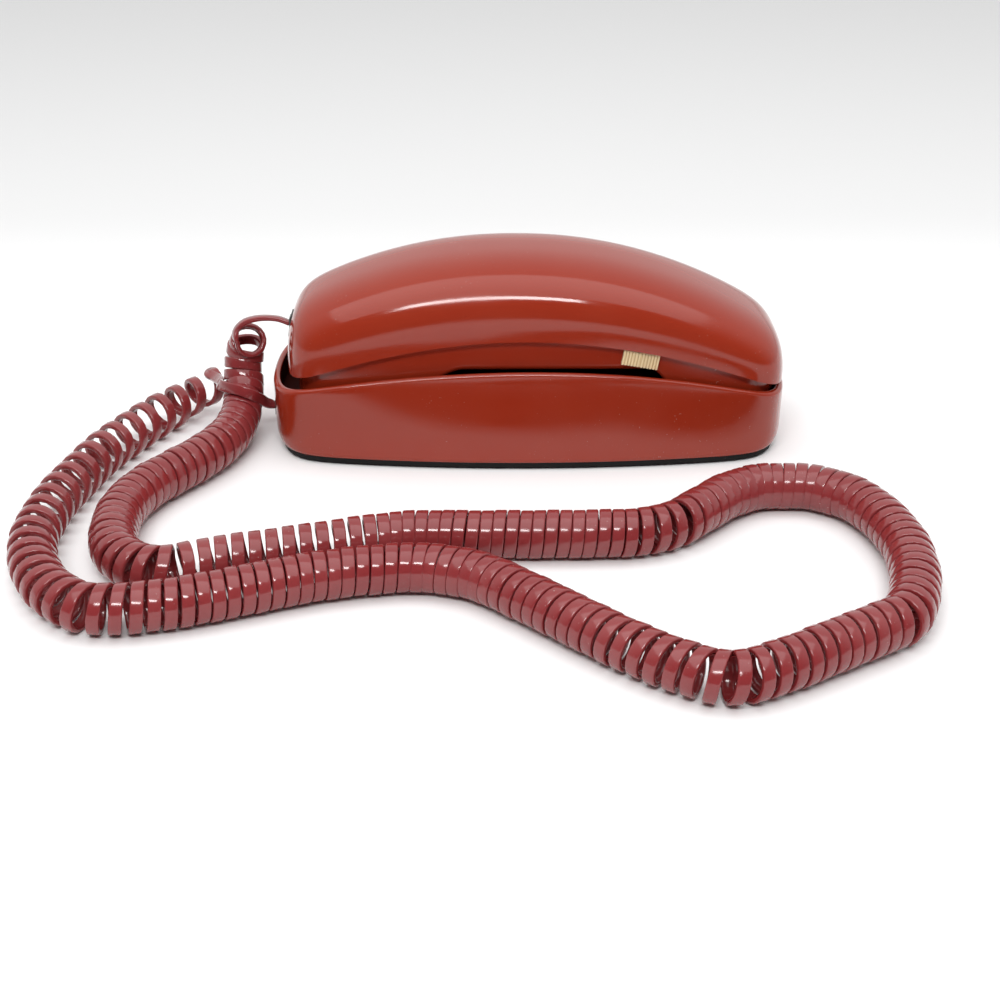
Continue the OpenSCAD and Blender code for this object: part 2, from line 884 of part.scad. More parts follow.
// One ring round the face shell: inset, and a height from the face or the upper edge
tuck = 1.2;
function face_ring(inset, edge_share, lift) =
    let (
        a = face_a - inset,
        xs = places(a, fine_steps()),
        n = len(xs),
        zs = [for (x = xs)
            edge_share * edge_z(x + hs_c) + (1 - edge_share) * face_at(x + hs_c) + lift],
        ws = [for (x = xs) plan_half(x, a, face_w - 2 * inset, hs_end_n)]
    )
    concat(
        [for (i = [0 : n - 1]) [hs_c + xs[i], -ws[i], zs[i]]],
        [for (i = [n - 2 : -1 : 0]) [hs_c + xs[i], ws[i], zs[i]]]
    );

module face_shell() {
    top_in = face_ring(face_wall, 1, tuck);
    face_edge = face_ring(face_round, 0, 0);
    floor_edge = face_ring(face_round, 0, face_wall);
    outer_rings = concat(
        [top_in, face_ring(0, 1, tuck)],
        [for (a = [0 : 30 : 90])
            face_ring(face_round * (1 - cos(a)), 0, face_round * (1 - sin(a)))]
    );
    inner_rings = [floor_edge, face_ring(face_wall, 0, face_round), top_in];
    skin([
        reversed(outer_rings),
        reversed(across(face_edge)),
        reversed(inner_rings),
        across(floor_edge)
    ]);
}

// Keypad plate: fills the opening of the face, its flange inside
pad_out = 0.3;
flange = 1.8;
pad_flange_t = 1.2;
pad_z = face_z - pad_out;
flange_top = face_z + face_wall + running + pad_flange_t;

// Dial board, longer than the keypad's flange, on pegs at the flange's two ends
dial_lift = 6.2;
dial_z = face_z + face_wall + dial_lift;
dial_peg_r = 2.3;
dial_peg_x = pad_len / 2 + flange + dial_peg_r + seat;
dial_peg_y = pad_y / 2 - 6;
dial_peg_xy = [
    for (sx = [-1, 1])
        for (sy = [-1, 1]) [pad_mid + sx * dial_peg_x, sy * dial_peg_y]
];
dial_x = 2 * (dial_peg_x + dial_peg_r + seat);
volume_body_y = 4.6;
dial_room = 3.1;
dial_y = face_w - 2 * (face_wall + 2 * slip + volume_body_y + dial_room);

// Sound holes of the two cups
hole_r = 1.1;
hole_ring = 5;
ear_holes = [
    [ear_x, 0],
    for (a = [0 : 60 : 300]) [ear_x + hole_ring * cos(a), hole_ring * sin(a)]
];
mouth_holes = [for (y = [-4, 0, 4]) [mouth_x, y]];

// Volume slider on the near side wall of the face shell
volume_x = 45.4;
volume_h = 6.4;
volume_out = 1.8;
volume_tilt = 10.5;
volume_stem = 4;
volume_stem_h = 2.4;
volume_u = (volume_x - hs_c) / face_a;
volume_y = -plan_half(volume_x - hs_c, face_a, face_w, hs_end_n);
volume_z = edge_z(volume_x) - volume_h / 2 - 0.7;
volume_turn = atan(2 * side_bow * volume_u / face_a);

module at_volume() {
    translate([volume_x, volume_y, volume_z])
        rotate([0, 0, volume_turn])
            rotate([0, volume_tilt, 0])
                children();
}

module handset_face() {
    color(RED)
    difference() {
        union() {
            face_shell();
            pegs(dial_peg_xy, dial_peg_r, face_z + face_wall / 2, dial_z);
        }
        pegs(dial_peg_xy, pilot_r, face_z + face_wall + 0.5, dial_z + 1);
        box_at([pad_len + 2 * slip, pad_y + 2 * slip, face_wall + 2], [pad_mid, 0, face_z - 1]);
        pegs(ear_holes, hole_r, cup_z - 1, cup_z + face_wall + 1);
        pegs(mouth_holes, hole_r, cup_z - 1, cup_z + face_wall + 1);
        pegs(hs_screw_xy, screw_hole_r, cup_z - 1, cup_z + face_wall + 1);
        pegs(hs_screw_xy, hs_head_r + slip, cup_z - 1, cup_z + hs_recess);
        at_volume()
            box_at([volume_stem + 2 * volume_travel + 2 * slip, 3 * face_wall, volume_stem_h + 2 * slip],
                [0, 0, -volume_stem_h / 2 - slip]);
    }
}

// ---------- keypad ----------

key_gap = 0.2;
key_flange = 0.8;
key_flange_t = 1;
key_foot_z = flange_top + key_gap;
key_names = ["1", "2", "3", "4", "5", "6", "7", "8", "9", "star", "0", "pound"];
function key_xy(i) =
    [pad_c + pad_top_row - floor(i / 3) * row_pitch, (i % 3 - 1) * col_pitch];
recall_at = [pad_c - pad_top_row - recall_pitch, 0];

module key_hole(at, x, y) {
    translate([at[0], at[1], pad_z - 1])
        rounded_box(x + 2 * key_gap, y + 2 * key_gap, flange_top - pad_z + 2, 1.2 + key_gap);
}

module keypad_plate() {
    color([0.32, 0.12, 0.10])
    difference() {
        union() {
            translate([pad_mid, 0, pad_z])
                rounded_box(pad_len, pad_y, flange_top - pad_z - pad_flange_t / 2, 0.6);
            box_at([pad_len + 2 * flange, pad_y + 2 * flange, pad_flange_t],
                [pad_mid, 0, flange_top - pad_flange_t]);
        }
        for (i = [0 : 11])
            key_hole(key_xy(i), key_x, key_y);
        key_hole(recall_at, recall_x, recall_y);
    }
}

// A key: the cap goes through the plate, a wider foot inside keeps it in
module key_cap(at, x, y) {
    translate([at[0], at[1], pad_z - key_out])
        rounded_box(x, y, key_foot_z - pad_z + key_out + key_flange_t / 2, 1.2);
    box_at([x + 2 * key_flange, y + 2 * key_flange, key_flange_t], [at[0], at[1], key_foot_z]);
}

module key(i) {
    color(CREAM)
        key_cap(key_xy(i), key_x, key_y);
}

module recall_key() {
    color(CREAM)
        key_cap(recall_at, recall_x, recall_y);
}

// Rubber sheet with a low contact pad over each key
dome_h = 0.6;
dome_r = 3.6;
sheet_t = 0.8;
sheet_gap = 0.2;
sheet_z = key_foot_z + key_flange_t + key_travel + sheet_gap + dome_h;

module key_membrane() {
    color([0.20, 0.20, 0.21]) {
        translate([pad_mid, 0, sheet_z])
            rounded_box(pad_len, pad_y, sheet_t, 1);
        for (i = [0 : 11])
            translate([key_xy(i)[0], key_xy(i)[1], sheet_z - dome_h])
                cylinder(r = dome_r, h = dome_h + sheet_t / 2, $fn = FN);
        for (s = [-1, 1])
            translate([recall_at[0], recall_at[1] + s * 8, sheet_z - dome_h])
                cylinder(r = 2.6, h = dome_h + sheet_t / 2, $fn = FN);
    }
}

// ---------- handset electronics ----------

module dial_board() {
    color(BOARD)
    difference() {
        box_at([dial_x, dial_y, board_t], [pad_mid, 0, dial_z]);
        pegs(dial_peg_xy, screw_hole_r, dial_z - 1, dial_z + board_t + 1);
    }
}

module dial_board_screws() {
    color(STEEL)
        for (p = dial_peg_xy)
            screw_down(p[0], p[1], dial_z + board_t + eps);
}

dial_top = dial_z + board_t + eps;

dial_chip_len = 22;
dial_chip_at = 6;

module dial_chip() {
    color(BLACK)
        chip(pad_mid + dial_chip_at, dial_chip_at, dial_top, dial_chip_len, chip_w, chip_h);
}

// Crystal can and two electrolytic capacitors beside the chip
crystal_x = 11;
crystal_y = 4.6;
crystal_h = 3.6;
crystal_at = [-16, -8];
can_r = 3.1;
can_h = 9;
can_at = [2, -10];
can_pitch = 12;

module dial_parts() {
    color(STEEL) {
        translate([pad_mid + crystal_at[0], crystal_at[1], dial_top])
            rounded_box(crystal_x, crystal_y, crystal_h, crystal_y / 2 - 0.1);
        for (s = [0, 1])
            translate([pad_mid + can_at[0] + can_pitch * s, can_at[1], dial_top])
                cylinder(r = can_r, h = can_h, $fn = FN);
    }
}

receiver_r = 12.5;
receiver_rim_h = 4;
receiver_cone_h = 6;
receiver_h = 10;
magnet_r = 7;
gasket_t = 1.4;
cup_floor = cup_z + face_wall;
gasket_z = cup_floor + 0.1;
receiver_z = gasket_z + gasket_t + 0.1;

module receiver() {
    color([0.75, 0.72, 0.66])
        translate([ear_x, 0, receiver_z])
            rotate_extrude($fn = FN)
                polygon([
                    [0, 0], [receiver_r, 0], [receiver_r, receiver_rim_h],
                    [receiver_r + receiver_rim_h - receiver_cone_h, receiver_cone_h],
                    [magnet_r, receiver_cone_h], [magnet_r, receiver_h], [0, receiver_h]
                ]);
}

module receiver_gasket() {
    color(BLACK)
        translate([ear_x, 0, gasket_z])
            difference() {
                cylinder(r = receiver_r - 0.5, h = gasket_t, $fn = FN);
                translate([0, 0, -1])
                    cylinder(r = receiver_r - 4, h = gasket_t + 2, $fn = FN);
            }
}

mic_r = 4.85;
boot_r = 7;
boot_h = 6;

module microphone_boot() {
    color(BLACK)
        translate([mouth_x, 0, gasket_z])
            difference() {
                cylinder(r = boot_r, h = boot_h, $fn = FN);
                translate([0, 0, 1])
                    cylinder(r = mic_r + running, h = boot_h, $fn = FN);
                translate([0, 0, -1])
                    cylinder(r = 1.5, h = 3, $fn = FN);
            }
}

module microphone() {
    color(STEEL)
        translate([mouth_x, 0, gasket_z + 1 + running])
            cylinder(r = mic_r, h = boot_h - 0.8, $fn = FN);
}

module volume_switch() {
    color(STEEL)
    difference() {
        at_volume()
            box_at([14, volume_body_y, 4.2], [0, face_wall + 2 * slip + volume_body_y / 2, -1.4]);
        at_volume()
            box_at([volume_stem + 2 * volume_travel + 2 * slip, 2.6, volume_stem_h + 2 * slip],
                [0, face_wall + 2 * slip + 1, -volume_stem_h / 2 - slip]);
    }
}

// Cap in two ribbed halves with a gap between them, on a stem through the wall
module volume_knob() {
    ribs = 5;
    half_len = (volume_len - 0.8) / 2;
    rib_pitch = half_len / (ribs + 0.5);
    color(CREAM)
        at_volume() {
            box_at([volume_stem, face_wall + slip + 1.6, volume_stem_h],
                [0, (face_wall + slip + 1.6) / 2 - slip - 0.1, -volume_stem_h / 2]);
            box_at([volume_len, 0.8, volume_h], [0, -slip - 0.4, -volume_h / 2]);
            for (s = [-1, 1])
                for (i = [0 : ribs])
                    box_at([rib_pitch * 0.6, volume_out - slip, volume_h],
                        [s * (0.4 + rib_pitch * (i + 0.3)), -slip - (volume_out - slip) / 2, -volume_h / 2]);
        }
}

module handset_cord_jack() {
    color(BLACK)
        translate([hs_jack_x, 0, hs_jack_z])
            jack_body(hs_jack_w, hs_jack_h, plug_w);
}

module handset_screws() {
    color(STEEL)
        for (p = hs_screw_xy)
            translate([p[0], p[1], cup_z + eps])
                screw(hs_head_r, hs_recess - 2 * eps, pilot_r - 0.05, hs_screw_len);
}

// Leads inside the handset: from the jack, the receiver and the microphone to the board
lead_r = 0.7;
lead_sides = 6;
lead_z = dial_top + lead_r + 0.1;

module handset_leads() {
    jack_end = hs_jack_x + jack_l + 0.2;
    board_left = pad_mid - dial_x / 2 + 3;
    board_right = pad_mid + dial_x / 2 - 3;
    receiver_top = receiver_z + receiver_h;
    mic_top = gasket_z + boot_h + 0.5;
    color([0.75, 0.15, 0.12]) {
        tube([
            [jack_end, 0, hs_jack_z], [jack_end + 4, 1, hs_jack_z],
            [board_left - 6, 3, lead_z + 3], [board_left, 4, lead_z], [board_left + 3, 4, lead_z]
        ], lead_r, lead_sides);
        tube([
            [ear_x - 4, 0, receiver_top + 0.2 + lead_r], [ear_x - 9, 1, receiver_top + 4],
            [board_right + 8, 3, lead_z + 3], [board_right, 4, lead_z], [board_right - 3, 4, lead_z]
        ], lead_r, lead_sides);
        tube([
            [mouth_x, 0, mic_top + 0.1], [mouth_x + 3, -3, mic_top + 6],
            [mouth_x + 14, -6, lead_z + 2], [board_left, -6, lead_z], [board_left + 3, -6, lead_z]
        ], lead_r, lead_sides);
    }
}

// Leads inside the base: from each jack to the board
module base_leads() {
    z = board_top + lead_r + 0.1;
    cord_jack_end = cord_jack_x + jack_l + 0.2;
    line_jack_end = line_jack_y - jack_l - 0.2;
    color([0.20, 0.30, 0.55]) {
        tube([
            [cord_jack_end, 2, jack_z], [cord_jack_end + 3, 3, jack_z],
            [-base_board_x / 2 - 4, 8, jack_z + 1.5], [-base_board_x / 2 + 2, 10, z],
            [-base_board_x / 2 + 6, 10, z]
        ], lead_r, lead_sides);
        tube([
            [line_jack_x, line_jack_end, jack_z + 3], [line_jack_x + 1, line_jack_end - 3, jack_z + 3],
            [line_jack_x + 5, line_jack_end - 6, z], [line_jack_x + 9, line_jack_end - 7, z]
        ], lead_r, lead_sides);
    }
}

// ---------- handset cord ----------

// Clear plug, its nose inside the jack and its tail a little outside
plug_l = 11.5;
plug_out = 2;

// The plug's nose is in the jack at x, and the rest reaches out of it. A latch runs
// along its lower side.
module cord_plug(x, z, out) {
    color(CLEAR)
        translate([x, 0, z]) {
            translate([-out, -plug_w / 2, -plug_h / 2])
                cube([plug_l, plug_w, plug_h]);
            translate([-out + 1, -latch_w / 2, -plug_h / 2 - latch_h])
                cube([latch_l, latch_w, latch_h + 0.5]);
        }
}

module handset_cord_plug() {
    cord_plug(hs_jack_x, hs_jack_z, hs_plug_out);
}

module base_cord_plug() {
    cord_plug(cord_jack_x, jack_z, plug_out);
}

// Route of the cord's middle line, from the handset's plug to the base's plug. The
// first and last points follow the plugs, the others lie on the table or hang.
tail_gap = 0.15;
hs_tail = [hs_jack_x - hs_plug_out - tail_gap, 0, hs_jack_z];
base_tail = [cord_jack_x - plug_out - tail_gap, 0, jack_z];
table_z = coil_od / 2 + 0.1;

lead_out = [
    hs_tail, hs_tail + [-cord_d * 1.2, 0, 0], hs_tail + [-10, 2, 0.5],
    [-118.5, 8, 49.5], [-122, 13, 45.5]
];
drop = [
    [-123, 15.5, 39], [-123.5, 16, 31], [-124.5, 15, 23], [-126.5, 11, 15],
    [-128, 3, 10.4]
];
far_side = [
    [-128, -7.5], [-128, -18.5], [-129.5, -29.5], [-133.5, -43], [-144.5, -60],
    [-153, -73], [-159, -89], [-160.5, -105], [-157.5, -125], [-148.5, -138],
    [-135.5, -142.5], [-120.5, -136.5], [-88.5, -127], [-51, -116.5], [-21, -116],
    [13, -116], [40, -114.5], [54, -108], [66, -96], [75.5, -86], [87.5, -78],
    [100.5, -76], [114.5, -78.5], [127.5, -89.5], [135, -107], [138.5, -129],
    [136, -154], [127.5, -177], [115, -186.5], [100, -196], [86, -205],
    [74.5, -212], [64.5, -217]
];
near_side = [
    [56.5, -216], [49.5, -211.5], [41, -205.5], [29, -195.5], [15, -182],
    [4, -171], [-7.5, -160], [-20.5, -148.5], [-35.5, -142.5], [-50.5, -141.5],
    [-78.5, -147], [-111, -159.5], [-129, -166], [-150, -170], [-164, -166.5],
    [-178, -151], [-187.5, -127.5], [-189.5, -102.5], [-187, -82.5], [-183, -63.5],
    [-179.5, -49.5], [-174, -32.5], [-166, -15], [-157.5, 1], [-148.5, 14.5],
    [-144, 20]
];
lead_in = [
    [-141, 20, 14], [-137.5, 13, 21], [-132.5, 3, 24.2], [-127, -2.5, 24],
    [-121.5, -2.5, 20.5], [-117.5, 0, 15.5],
    base_tail + [-cord_d * 1.2, 0, 0], base_tail
];
route = concat(
    lead_out, drop,
    [for (p = far_side) [p[0], p[1], table_z]],
    [for (p = near_side) [p[0], p[1], table_z]],
    lead_in
);

// Smooth curve through the route's points
function knot(i) = route[max(0, min(len(route) - 1, i))];
function curve_at(t) =
    let (
        i = min(len(route) - 2, floor(t)), f = t - i,
        a = knot(i - 1), b = knot(i), c = knot(i + 1), d = knot(i + 2)
    )
    b + 0.5 * f * (c - a + f * (2 * a - 5 * b + 4 * c - d + f * (3 * (b - c) + d - a)));

// Table from the length along the curve to the curve's own parameter
curve_parts = 6;
curve_count = (len(route) - 1) * curve_parts;
curve_points = [for (i = [0 : curve_count]) curve_at(i / curve_parts)];
curve_lengths = [for (i = 0, s = 0; i <= curve_count;
    i = i + 1, s = i <= curve_count ? s + norm(curve_points[i] - curve_points[i - 1]) : s)
    [s, i / curve_parts]];
route_len = curve_lengths[curve_count][0];

// The curls wind left-handed round the route. Their radius grows from nothing after
// the first lead and shrinks to nothing before the last.
coil_start = 33;
coil_end = 50;
coil_grow = 12;
coil_r = coil_od / 2 - cord_d / 2;
rings_per_curl = 8;
lead_rings = 9;
coil_len = route_len - coil_start - coil_end;

function coil_radius(s) =
    coil_r * smooth((s - coil_start) / coil_grow)
    * smooth((route_len - coil_end - s) / coil_grow);

function cord_point(s) =
    let (
        p = curve_at(lookup(s, curve_lengths)),
        q = curve_at(lookup(min(route_len, s + 0.5), curve_lengths)),
        o = curve_at(lookup(max(0, s - 0.5), curve_lengths)),
        t = unit(q - o),
        n1 = unit(cross(tube_ref, t)),
        n2 = cross(t, n1),
        a = -360 * curls * (s - coil_start) / coil_len
    )
    p + coil_radius(s) * (cos(a) * n1 + sin(a) * n2);

function cord_stops() = concat(
    [for (i = [0 : lead_rings - 1]) coil_start * i / lead_rings],
    [for (i = [0 : curls * rings_per_curl]) coil_start + coil_len * i / (curls * rings_per_curl)],
    [for (i = [1 : lead_rings + 3]) route_len - coil_end * (1 - i / (lead_rings + 3))]
);

// Least distance between the surfaces of stretches of the tube that aren't neighbours
function least_gap(p, apart) =
    min([for (i = [0 : len(p) - 1 - apart])
        min([for (j = [i + apart : len(p) - 1]) norm(p[i] - p[j])])]) - cord_d;

module handset_cord() {
    path = [for (s = cord_stops()) cord_point(s)];
    echo(cord_route_mm = route_len, cord_least_gap_mm = least_gap(path, rings_per_curl - 2));
    color(CORD_RED)
        tube(path, cord_d / 2, 6);
}

base_housing();
base_plate();
base_feet();
base_screws();
base_board();
base_board_screws();
line_jack();
base_cord_jack();
hook_switch();
hook_plunger();
hook_spring();
line_transformer();
line_capacitor();
ringer_chip();
ringer_sounder();
ringer_switch();
ringer_knob();
number_card();
card_window();
base_leads();
handset_back();
handset_face();
keypad_plate();
key(0);  // key_1
key(1);  // key_2
key(2);  // key_3
key(3);  // key_4
key(4);  // key_5
key(5);  // key_6
key(6);  // key_7
key(7);  // key_8
key(8);  // key_9
key(9);  // key_star
key(10);  // key_0
key(11);  // key_pound
recall_key();
key_membrane();
dial_board();
dial_board_screws();
dial_chip();
dial_parts();
receiver();
receiver_gasket();
microphone();
microphone_boot();
volume_switch();
volume_knob();
handset_cord_jack();
handset_screws();
handset_leads();
handset_cord();
handset_cord_plug();
base_cord_plug();
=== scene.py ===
import math
import bpy
import bmesh
import numpy as np
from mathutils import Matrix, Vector


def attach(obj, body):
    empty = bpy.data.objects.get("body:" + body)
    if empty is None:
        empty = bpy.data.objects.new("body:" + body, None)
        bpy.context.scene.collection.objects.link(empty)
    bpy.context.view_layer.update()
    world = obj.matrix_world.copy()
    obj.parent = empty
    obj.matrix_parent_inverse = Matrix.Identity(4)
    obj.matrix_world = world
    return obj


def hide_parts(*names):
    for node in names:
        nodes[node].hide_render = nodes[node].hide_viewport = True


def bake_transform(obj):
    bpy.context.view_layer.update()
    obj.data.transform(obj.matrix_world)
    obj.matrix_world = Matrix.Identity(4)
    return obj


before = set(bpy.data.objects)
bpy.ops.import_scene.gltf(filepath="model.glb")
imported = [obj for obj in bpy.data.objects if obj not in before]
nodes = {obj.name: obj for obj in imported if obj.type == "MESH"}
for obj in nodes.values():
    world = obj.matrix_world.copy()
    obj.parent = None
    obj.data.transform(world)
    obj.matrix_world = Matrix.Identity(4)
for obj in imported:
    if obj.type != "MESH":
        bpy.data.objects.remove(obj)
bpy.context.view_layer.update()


# ---------------------------------------------------------------- camera
# One camera a little above the table, in front of the long side with the
# volume slide. Its place and lens come from the outline of the phone.
camera_data = bpy.data.cameras.new("camera")
camera_data.lens = 61.2
camera_data.sensor_width = 36.0
camera_data.clip_start = 0.01
camera = bpy.data.objects.new("camera", camera_data)
camera.location = (-0.018684, -0.683620, 0.314571)
camera.rotation_euler = (math.radians(62.9), 0.0, math.radians(-0.55))
bpy.context.scene.collection.objects.link(camera)
bpy.context.scene.camera = camera


# ---------------------------------------------------------------- curly handset cord
# A flat four-wire ribbon in a soft glossy PVC jacket, wound left-handed into a
# tight coil. Its straight ends go into the handset and the base, and it rests
# on the table from the hanging stack of curls on the left.
MM = 0.001
COIL_OUT = 18.8 * MM
RIBBON_W = 4.7 * MM
RIBBON_T = 2.0 * MM
RIBBON_EDGE = 0.62 * MM
COIL_Z = COIL_OUT / 2 + 0.1 * MM
HANDSET_EXIT = np.array([-0.1022, 0.0, 0.0504])
BASE_EXIT = np.array([-0.1106, 0.0, 0.0125])


def points_mm(flat, z=None):
    """Points of the cord's route in metres, given in millimetres."""
    rows = [p if z is None else (p[0], p[1], z / MM) for p in flat]
    return np.array(rows, float) * MM


def through(points, per_span):
    """A smooth curve through the points, as many samples as asked for a span."""
    out = []
    n = len(points)
    for i in range(n - 1):
        a, b = points[max(0, i - 1)], points[i]
        c, d = points[i + 1], points[min(n - 1, i + 2)]
        for k in range(per_span):
            f = k / per_span
            out.append(b + 0.5 * f * (c - a + f * (2 * a - 5 * b + 4 * c - d + f * (3 * (b - c) + d - a))))
    out.append(points[-1])
    return np.array(out)


def run_lengths(points):
    steps = np.linalg.norm(np.diff(points, axis=0), axis=1)
    return np.concatenate([[0.0], np.cumsum(steps)])


def resample(points, stops):
    s = run_lengths(points)
    return np.stack([np.interp(stops, s, points[:, k]) for k in range(3)], 1)


coil_axis = through(np.vstack([
    points_mm([(-119.8, 3.0, 40.8), (-121.4, 6.8, 39.6), (-123.2, 9.6, 36.2), (-124.1, 9.4, 32.2),
               (-124.3, 7.6, 27.6), (-124.2, 4.6, 22.2), (-124.0, -0.5, 17.6), (-124.2, -7.5, 13.7),
               (-125.4, -16.5, 10.5)]),
    points_mm([(-127.8, -27), (-131.5, -38), (-137, -48.5), (-144.5, -60), (-153, -73),
               (-159, -89), (-160.5, -105), (-157.5, -125), (-148.5, -138), (-135.5, -142.5),
               (-120.5, -136.5), (-88.5, -127), (-51, -116.5), (-21, -116),
               (13, -116), (40, -114.5), (54, -108), (66, -96), (75.5, -86), (87.5, -78),
               (100.5, -76), (114.5, -78.5), (127.5, -89.5), (135, -107), (138.5, -129),
               (136, -154), (127.5, -177), (115, -186.5), (100, -196), (86, -205),
               (74.5, -211.5), (64.5, -215.6)], COIL_Z),
    points_mm([(56.5, -214.8), (49.5, -211), (41, -205.5), (29, -195.5), (15, -182),
               (4, -171), (-7.5, -160), (-20.5, -148.5), (-35.5, -142.5), (-50.5, -141.5),
               (-78.5, -147), (-111, -159.5), (-129, -166), (-150, -170), (-164, -166.5),
               (-178, -151), (-187.5, -127.5), (-189.2, -102.5), (-187, -82.5),
               (-183, -63.5), (-179.5, -49.5), (-174, -32.5), (-166, -15), (-157.5, 1),
               (-147, 15.5), (-136, 27)], COIL_Z),
]), 12)
coil_len = run_lengths(coil_axis)[-1]

# how far apart the turns lie at places along the coil, both in millimetres: close in
# the stack, opened in the bends, drawn far apart towards the base's end
PITCH_AT = [0, 12, 30, 44, 187, 196, 202, 212, 265, 277, 367, 386, 392, 402, 448, 470, 515, 575,
            610, 640, 690, 700, 745, 781, 870, 895, 935, 980, 1045, 1080, 1122]
PITCH = [6.2, 5.3, 5.5, 5.6, 5.6, 6.4, 7.4, 6.3, 6.3, 4.95, 4.95, 6.0, 7.6, 4.95, 4.95, 5.5, 6.1, 6.0,
         5.8, 6.5, 6.6, 5.5, 5.45, 5.35, 5.35, 6.7, 7.7, 9.3, 10.3, 10.9, 11.7]
PER_CURL = 20
fine_s = np.linspace(0, coil_len, 9000)
pitch = np.interp(fine_s / MM, PITCH_AT, PITCH) * MM
pitch *= 1 + 0.025 * np.sin(fine_s / MM * 0.37) + 0.02 * np.sin(fine_s / MM * 0.91 + 1.3)
turns_done = np.concatenate([[0], np.cumsum(np.diff(fine_s) * 2 / (pitch[1:] + pitch[:-1]))])


def carried_frame(tangents, start):
    """A direction square to the line, carried along it without twisting."""
    n = start - tangents[0] * np.dot(start, tangents[0])
    n /= np.linalg.norm(n)
    rows = [n]
    for t in tangents[1:]:
        n = n - t * np.dot(n, t)
        n /= np.linalg.norm(n)
        rows.append(n)
    return np.array(rows)


START_SIDE = np.array([-1.0, 0.0, 0.0])
fine_p = resample(coil_axis, fine_s)
fine_t = np.gradient(fine_p, axis=0)
fine_t /= np.linalg.norm(fine_t, axis=1)[:, None]
end_side = carried_frame(fine_t, START_SIDE)[-1]
end_other = np.cross(fine_t[-1], end_side)
top_phase = -math.atan2(end_other[2], end_side[2]) / (2 * math.pi)
ribbon_curls = math.floor(turns_done[-1] - top_phase) + top_phase
turn_at = np.linspace(0, ribbon_curls, int(ribbon_curls * PER_CURL) + 1)
axis_p = resample(coil_axis, np.interp(turn_at, turns_done, fine_s))
axis_t = np.gradient(axis_p, axis=0)
axis_t /= np.linalg.norm(axis_t, axis=1)[:, None]
n1 = carried_frame(axis_t, START_SIDE)
n2 = np.cross(axis_t, n1)
angle = -2 * math.pi * turn_at
mid_r = COIL_OUT / 2 - RIBBON_T / 2 - 0.1 * MM
# the first curls hang smaller, and the last ones close up but keep their tops level
RADIUS_AT = [0, 0.9, 1.6, 2.6, 7, 12, ribbon_curls - 2.6, ribbon_curls - 1.5, ribbon_curls]
RADIUS = [6.3 * MM, 6.5 * MM, 7.4 * MM, 7.3 * MM, 7.6 * MM, mid_r, mid_r, mid_r * 0.86, mid_r * 0.76]
STACK_CURLS = 20
coil_r = np.interp(turn_at, RADIUS_AT, RADIUS)
axis_p[:, 2] += (mid_r - coil_r) * (turn_at > STACK_CURLS)
outward = np.cos(angle)[:, None] * n1 + np.sin(angle)[:, None] * n2
# no two curls lie quite alike, least of all in the stack
nudge = (0.14 + 0.34 * np.exp(-((turn_at - 4) / 3) ** 2) * (turn_at > 1)) * MM
sway = np.sin(2.3 * turn_at)[:, None] * n1 + np.sin(1.7 * turn_at + 1)[:, None] * n2
axis_p = axis_p + nudge[:, None] * sway
coil_p = axis_p + coil_r[:, None] * outward

# the lead from the handset arches over and runs down into the first curl
lead_a = through(np.vstack([
    HANDSET_EXIT, points_mm([(-107.2, 0.6, 52.1), (-113.3, 1.2, 52.3), (-118.3, 1.8, 51.4),
                             (-122.5, 2.2, 49.6), (-125.6, 2.4, 46.4)]),
    coil_p[0] + [-0.0004, 0, 0.0022], coil_p[0], coil_p[3]]), 6)[:-7]
# the lead from the last curl folds over, crosses in front of the stack and goes
# into the base with its flat side down
lead_b = through(np.vstack([
    coil_p[-4], coil_p[-1],
    points_mm([(-142.0, 26.0, 17.5), (-142.3, 22.2, 17.5), (-138.6, 16.8, 18.1), (-135.0, 7.0, 20.4),
               (-133.9, -0.6, 22.0), (-130.0, -6.8, 23.4), (-123.8, -11.1, 23.9),
               (-118.9, -11.3, 21.8), (-116.0, -7.4, 18.2), (-113.6, -2.6, 14.2)]), BASE_EXIT]), 8)[9:]
# which way the lead's flat side looks, from the last curl to the base
LEAD_FACE = np.array([(-0.1, 0, 1), (-0.2, 0, 1), (-0.35, 0, 0.95), (-0.5, -0.1, 0.85),
                      (-0.75, -0.2, 0.6), (-0.7, -0.5, 0.4), (-0.3, -0.9, 0.3), (0, -0.95, 0.35),
                      (0.1, -0.95, 0.3), (0.4, -0.8, 0.3), (0.5, -0.5, 0.6), (0, -0.15, 1)])
PLUG_FACE = np.array([0, 0.2, 0.98])
cord_path = np.vstack([lead_a, coil_p, lead_b])

cord_t = np.gradient(cord_path, axis=0)
cord_t /= np.linalg.norm(cord_t, axis=1)[:, None]
steps_b = np.linspace(0, len(LEAD_FACE) - 1, len(lead_b))
face_b = np.stack([np.interp(steps_b, range(len(LEAD_FACE)), LEAD_FACE[:, k]) for k in range(3)], 1)
turned = np.linspace(0, 1, len(lead_a))[:, None] ** 1.5
face_a = (1 - turned) * PLUG_FACE + turned * outward[0]
face = np.vstack([face_a, outward, face_b])
face -= cord_t * np.sum(face * cord_t, axis=1)[:, None]
face /= np.linalg.norm(face, axis=1)[:, None]
across = np.cross(cord_t, face)

# ribbon section: flat with small rounded edges
section = []
for cx, cy, a0 in ((1, 1, 0), (-1, 1, 90), (-1, -1, 180), (1, -1, 270)):
    for k in range(4):
        a = math.radians(a0 + 30 * k)
        section.append((cx * (RIBBON_W / 2 - RIBBON_EDGE) + RIBBON_EDGE * math.cos(a),
                        cy * (RIBBON_T / 2 - RIBBON_EDGE) + RIBBON_EDGE * math.sin(a)))
section = np.array(section)
rings = (cord_path[:, None, :] + section[None, :, :1] * across[:, None, :]
         + section[None, :, 1:] * face[:, None, :])


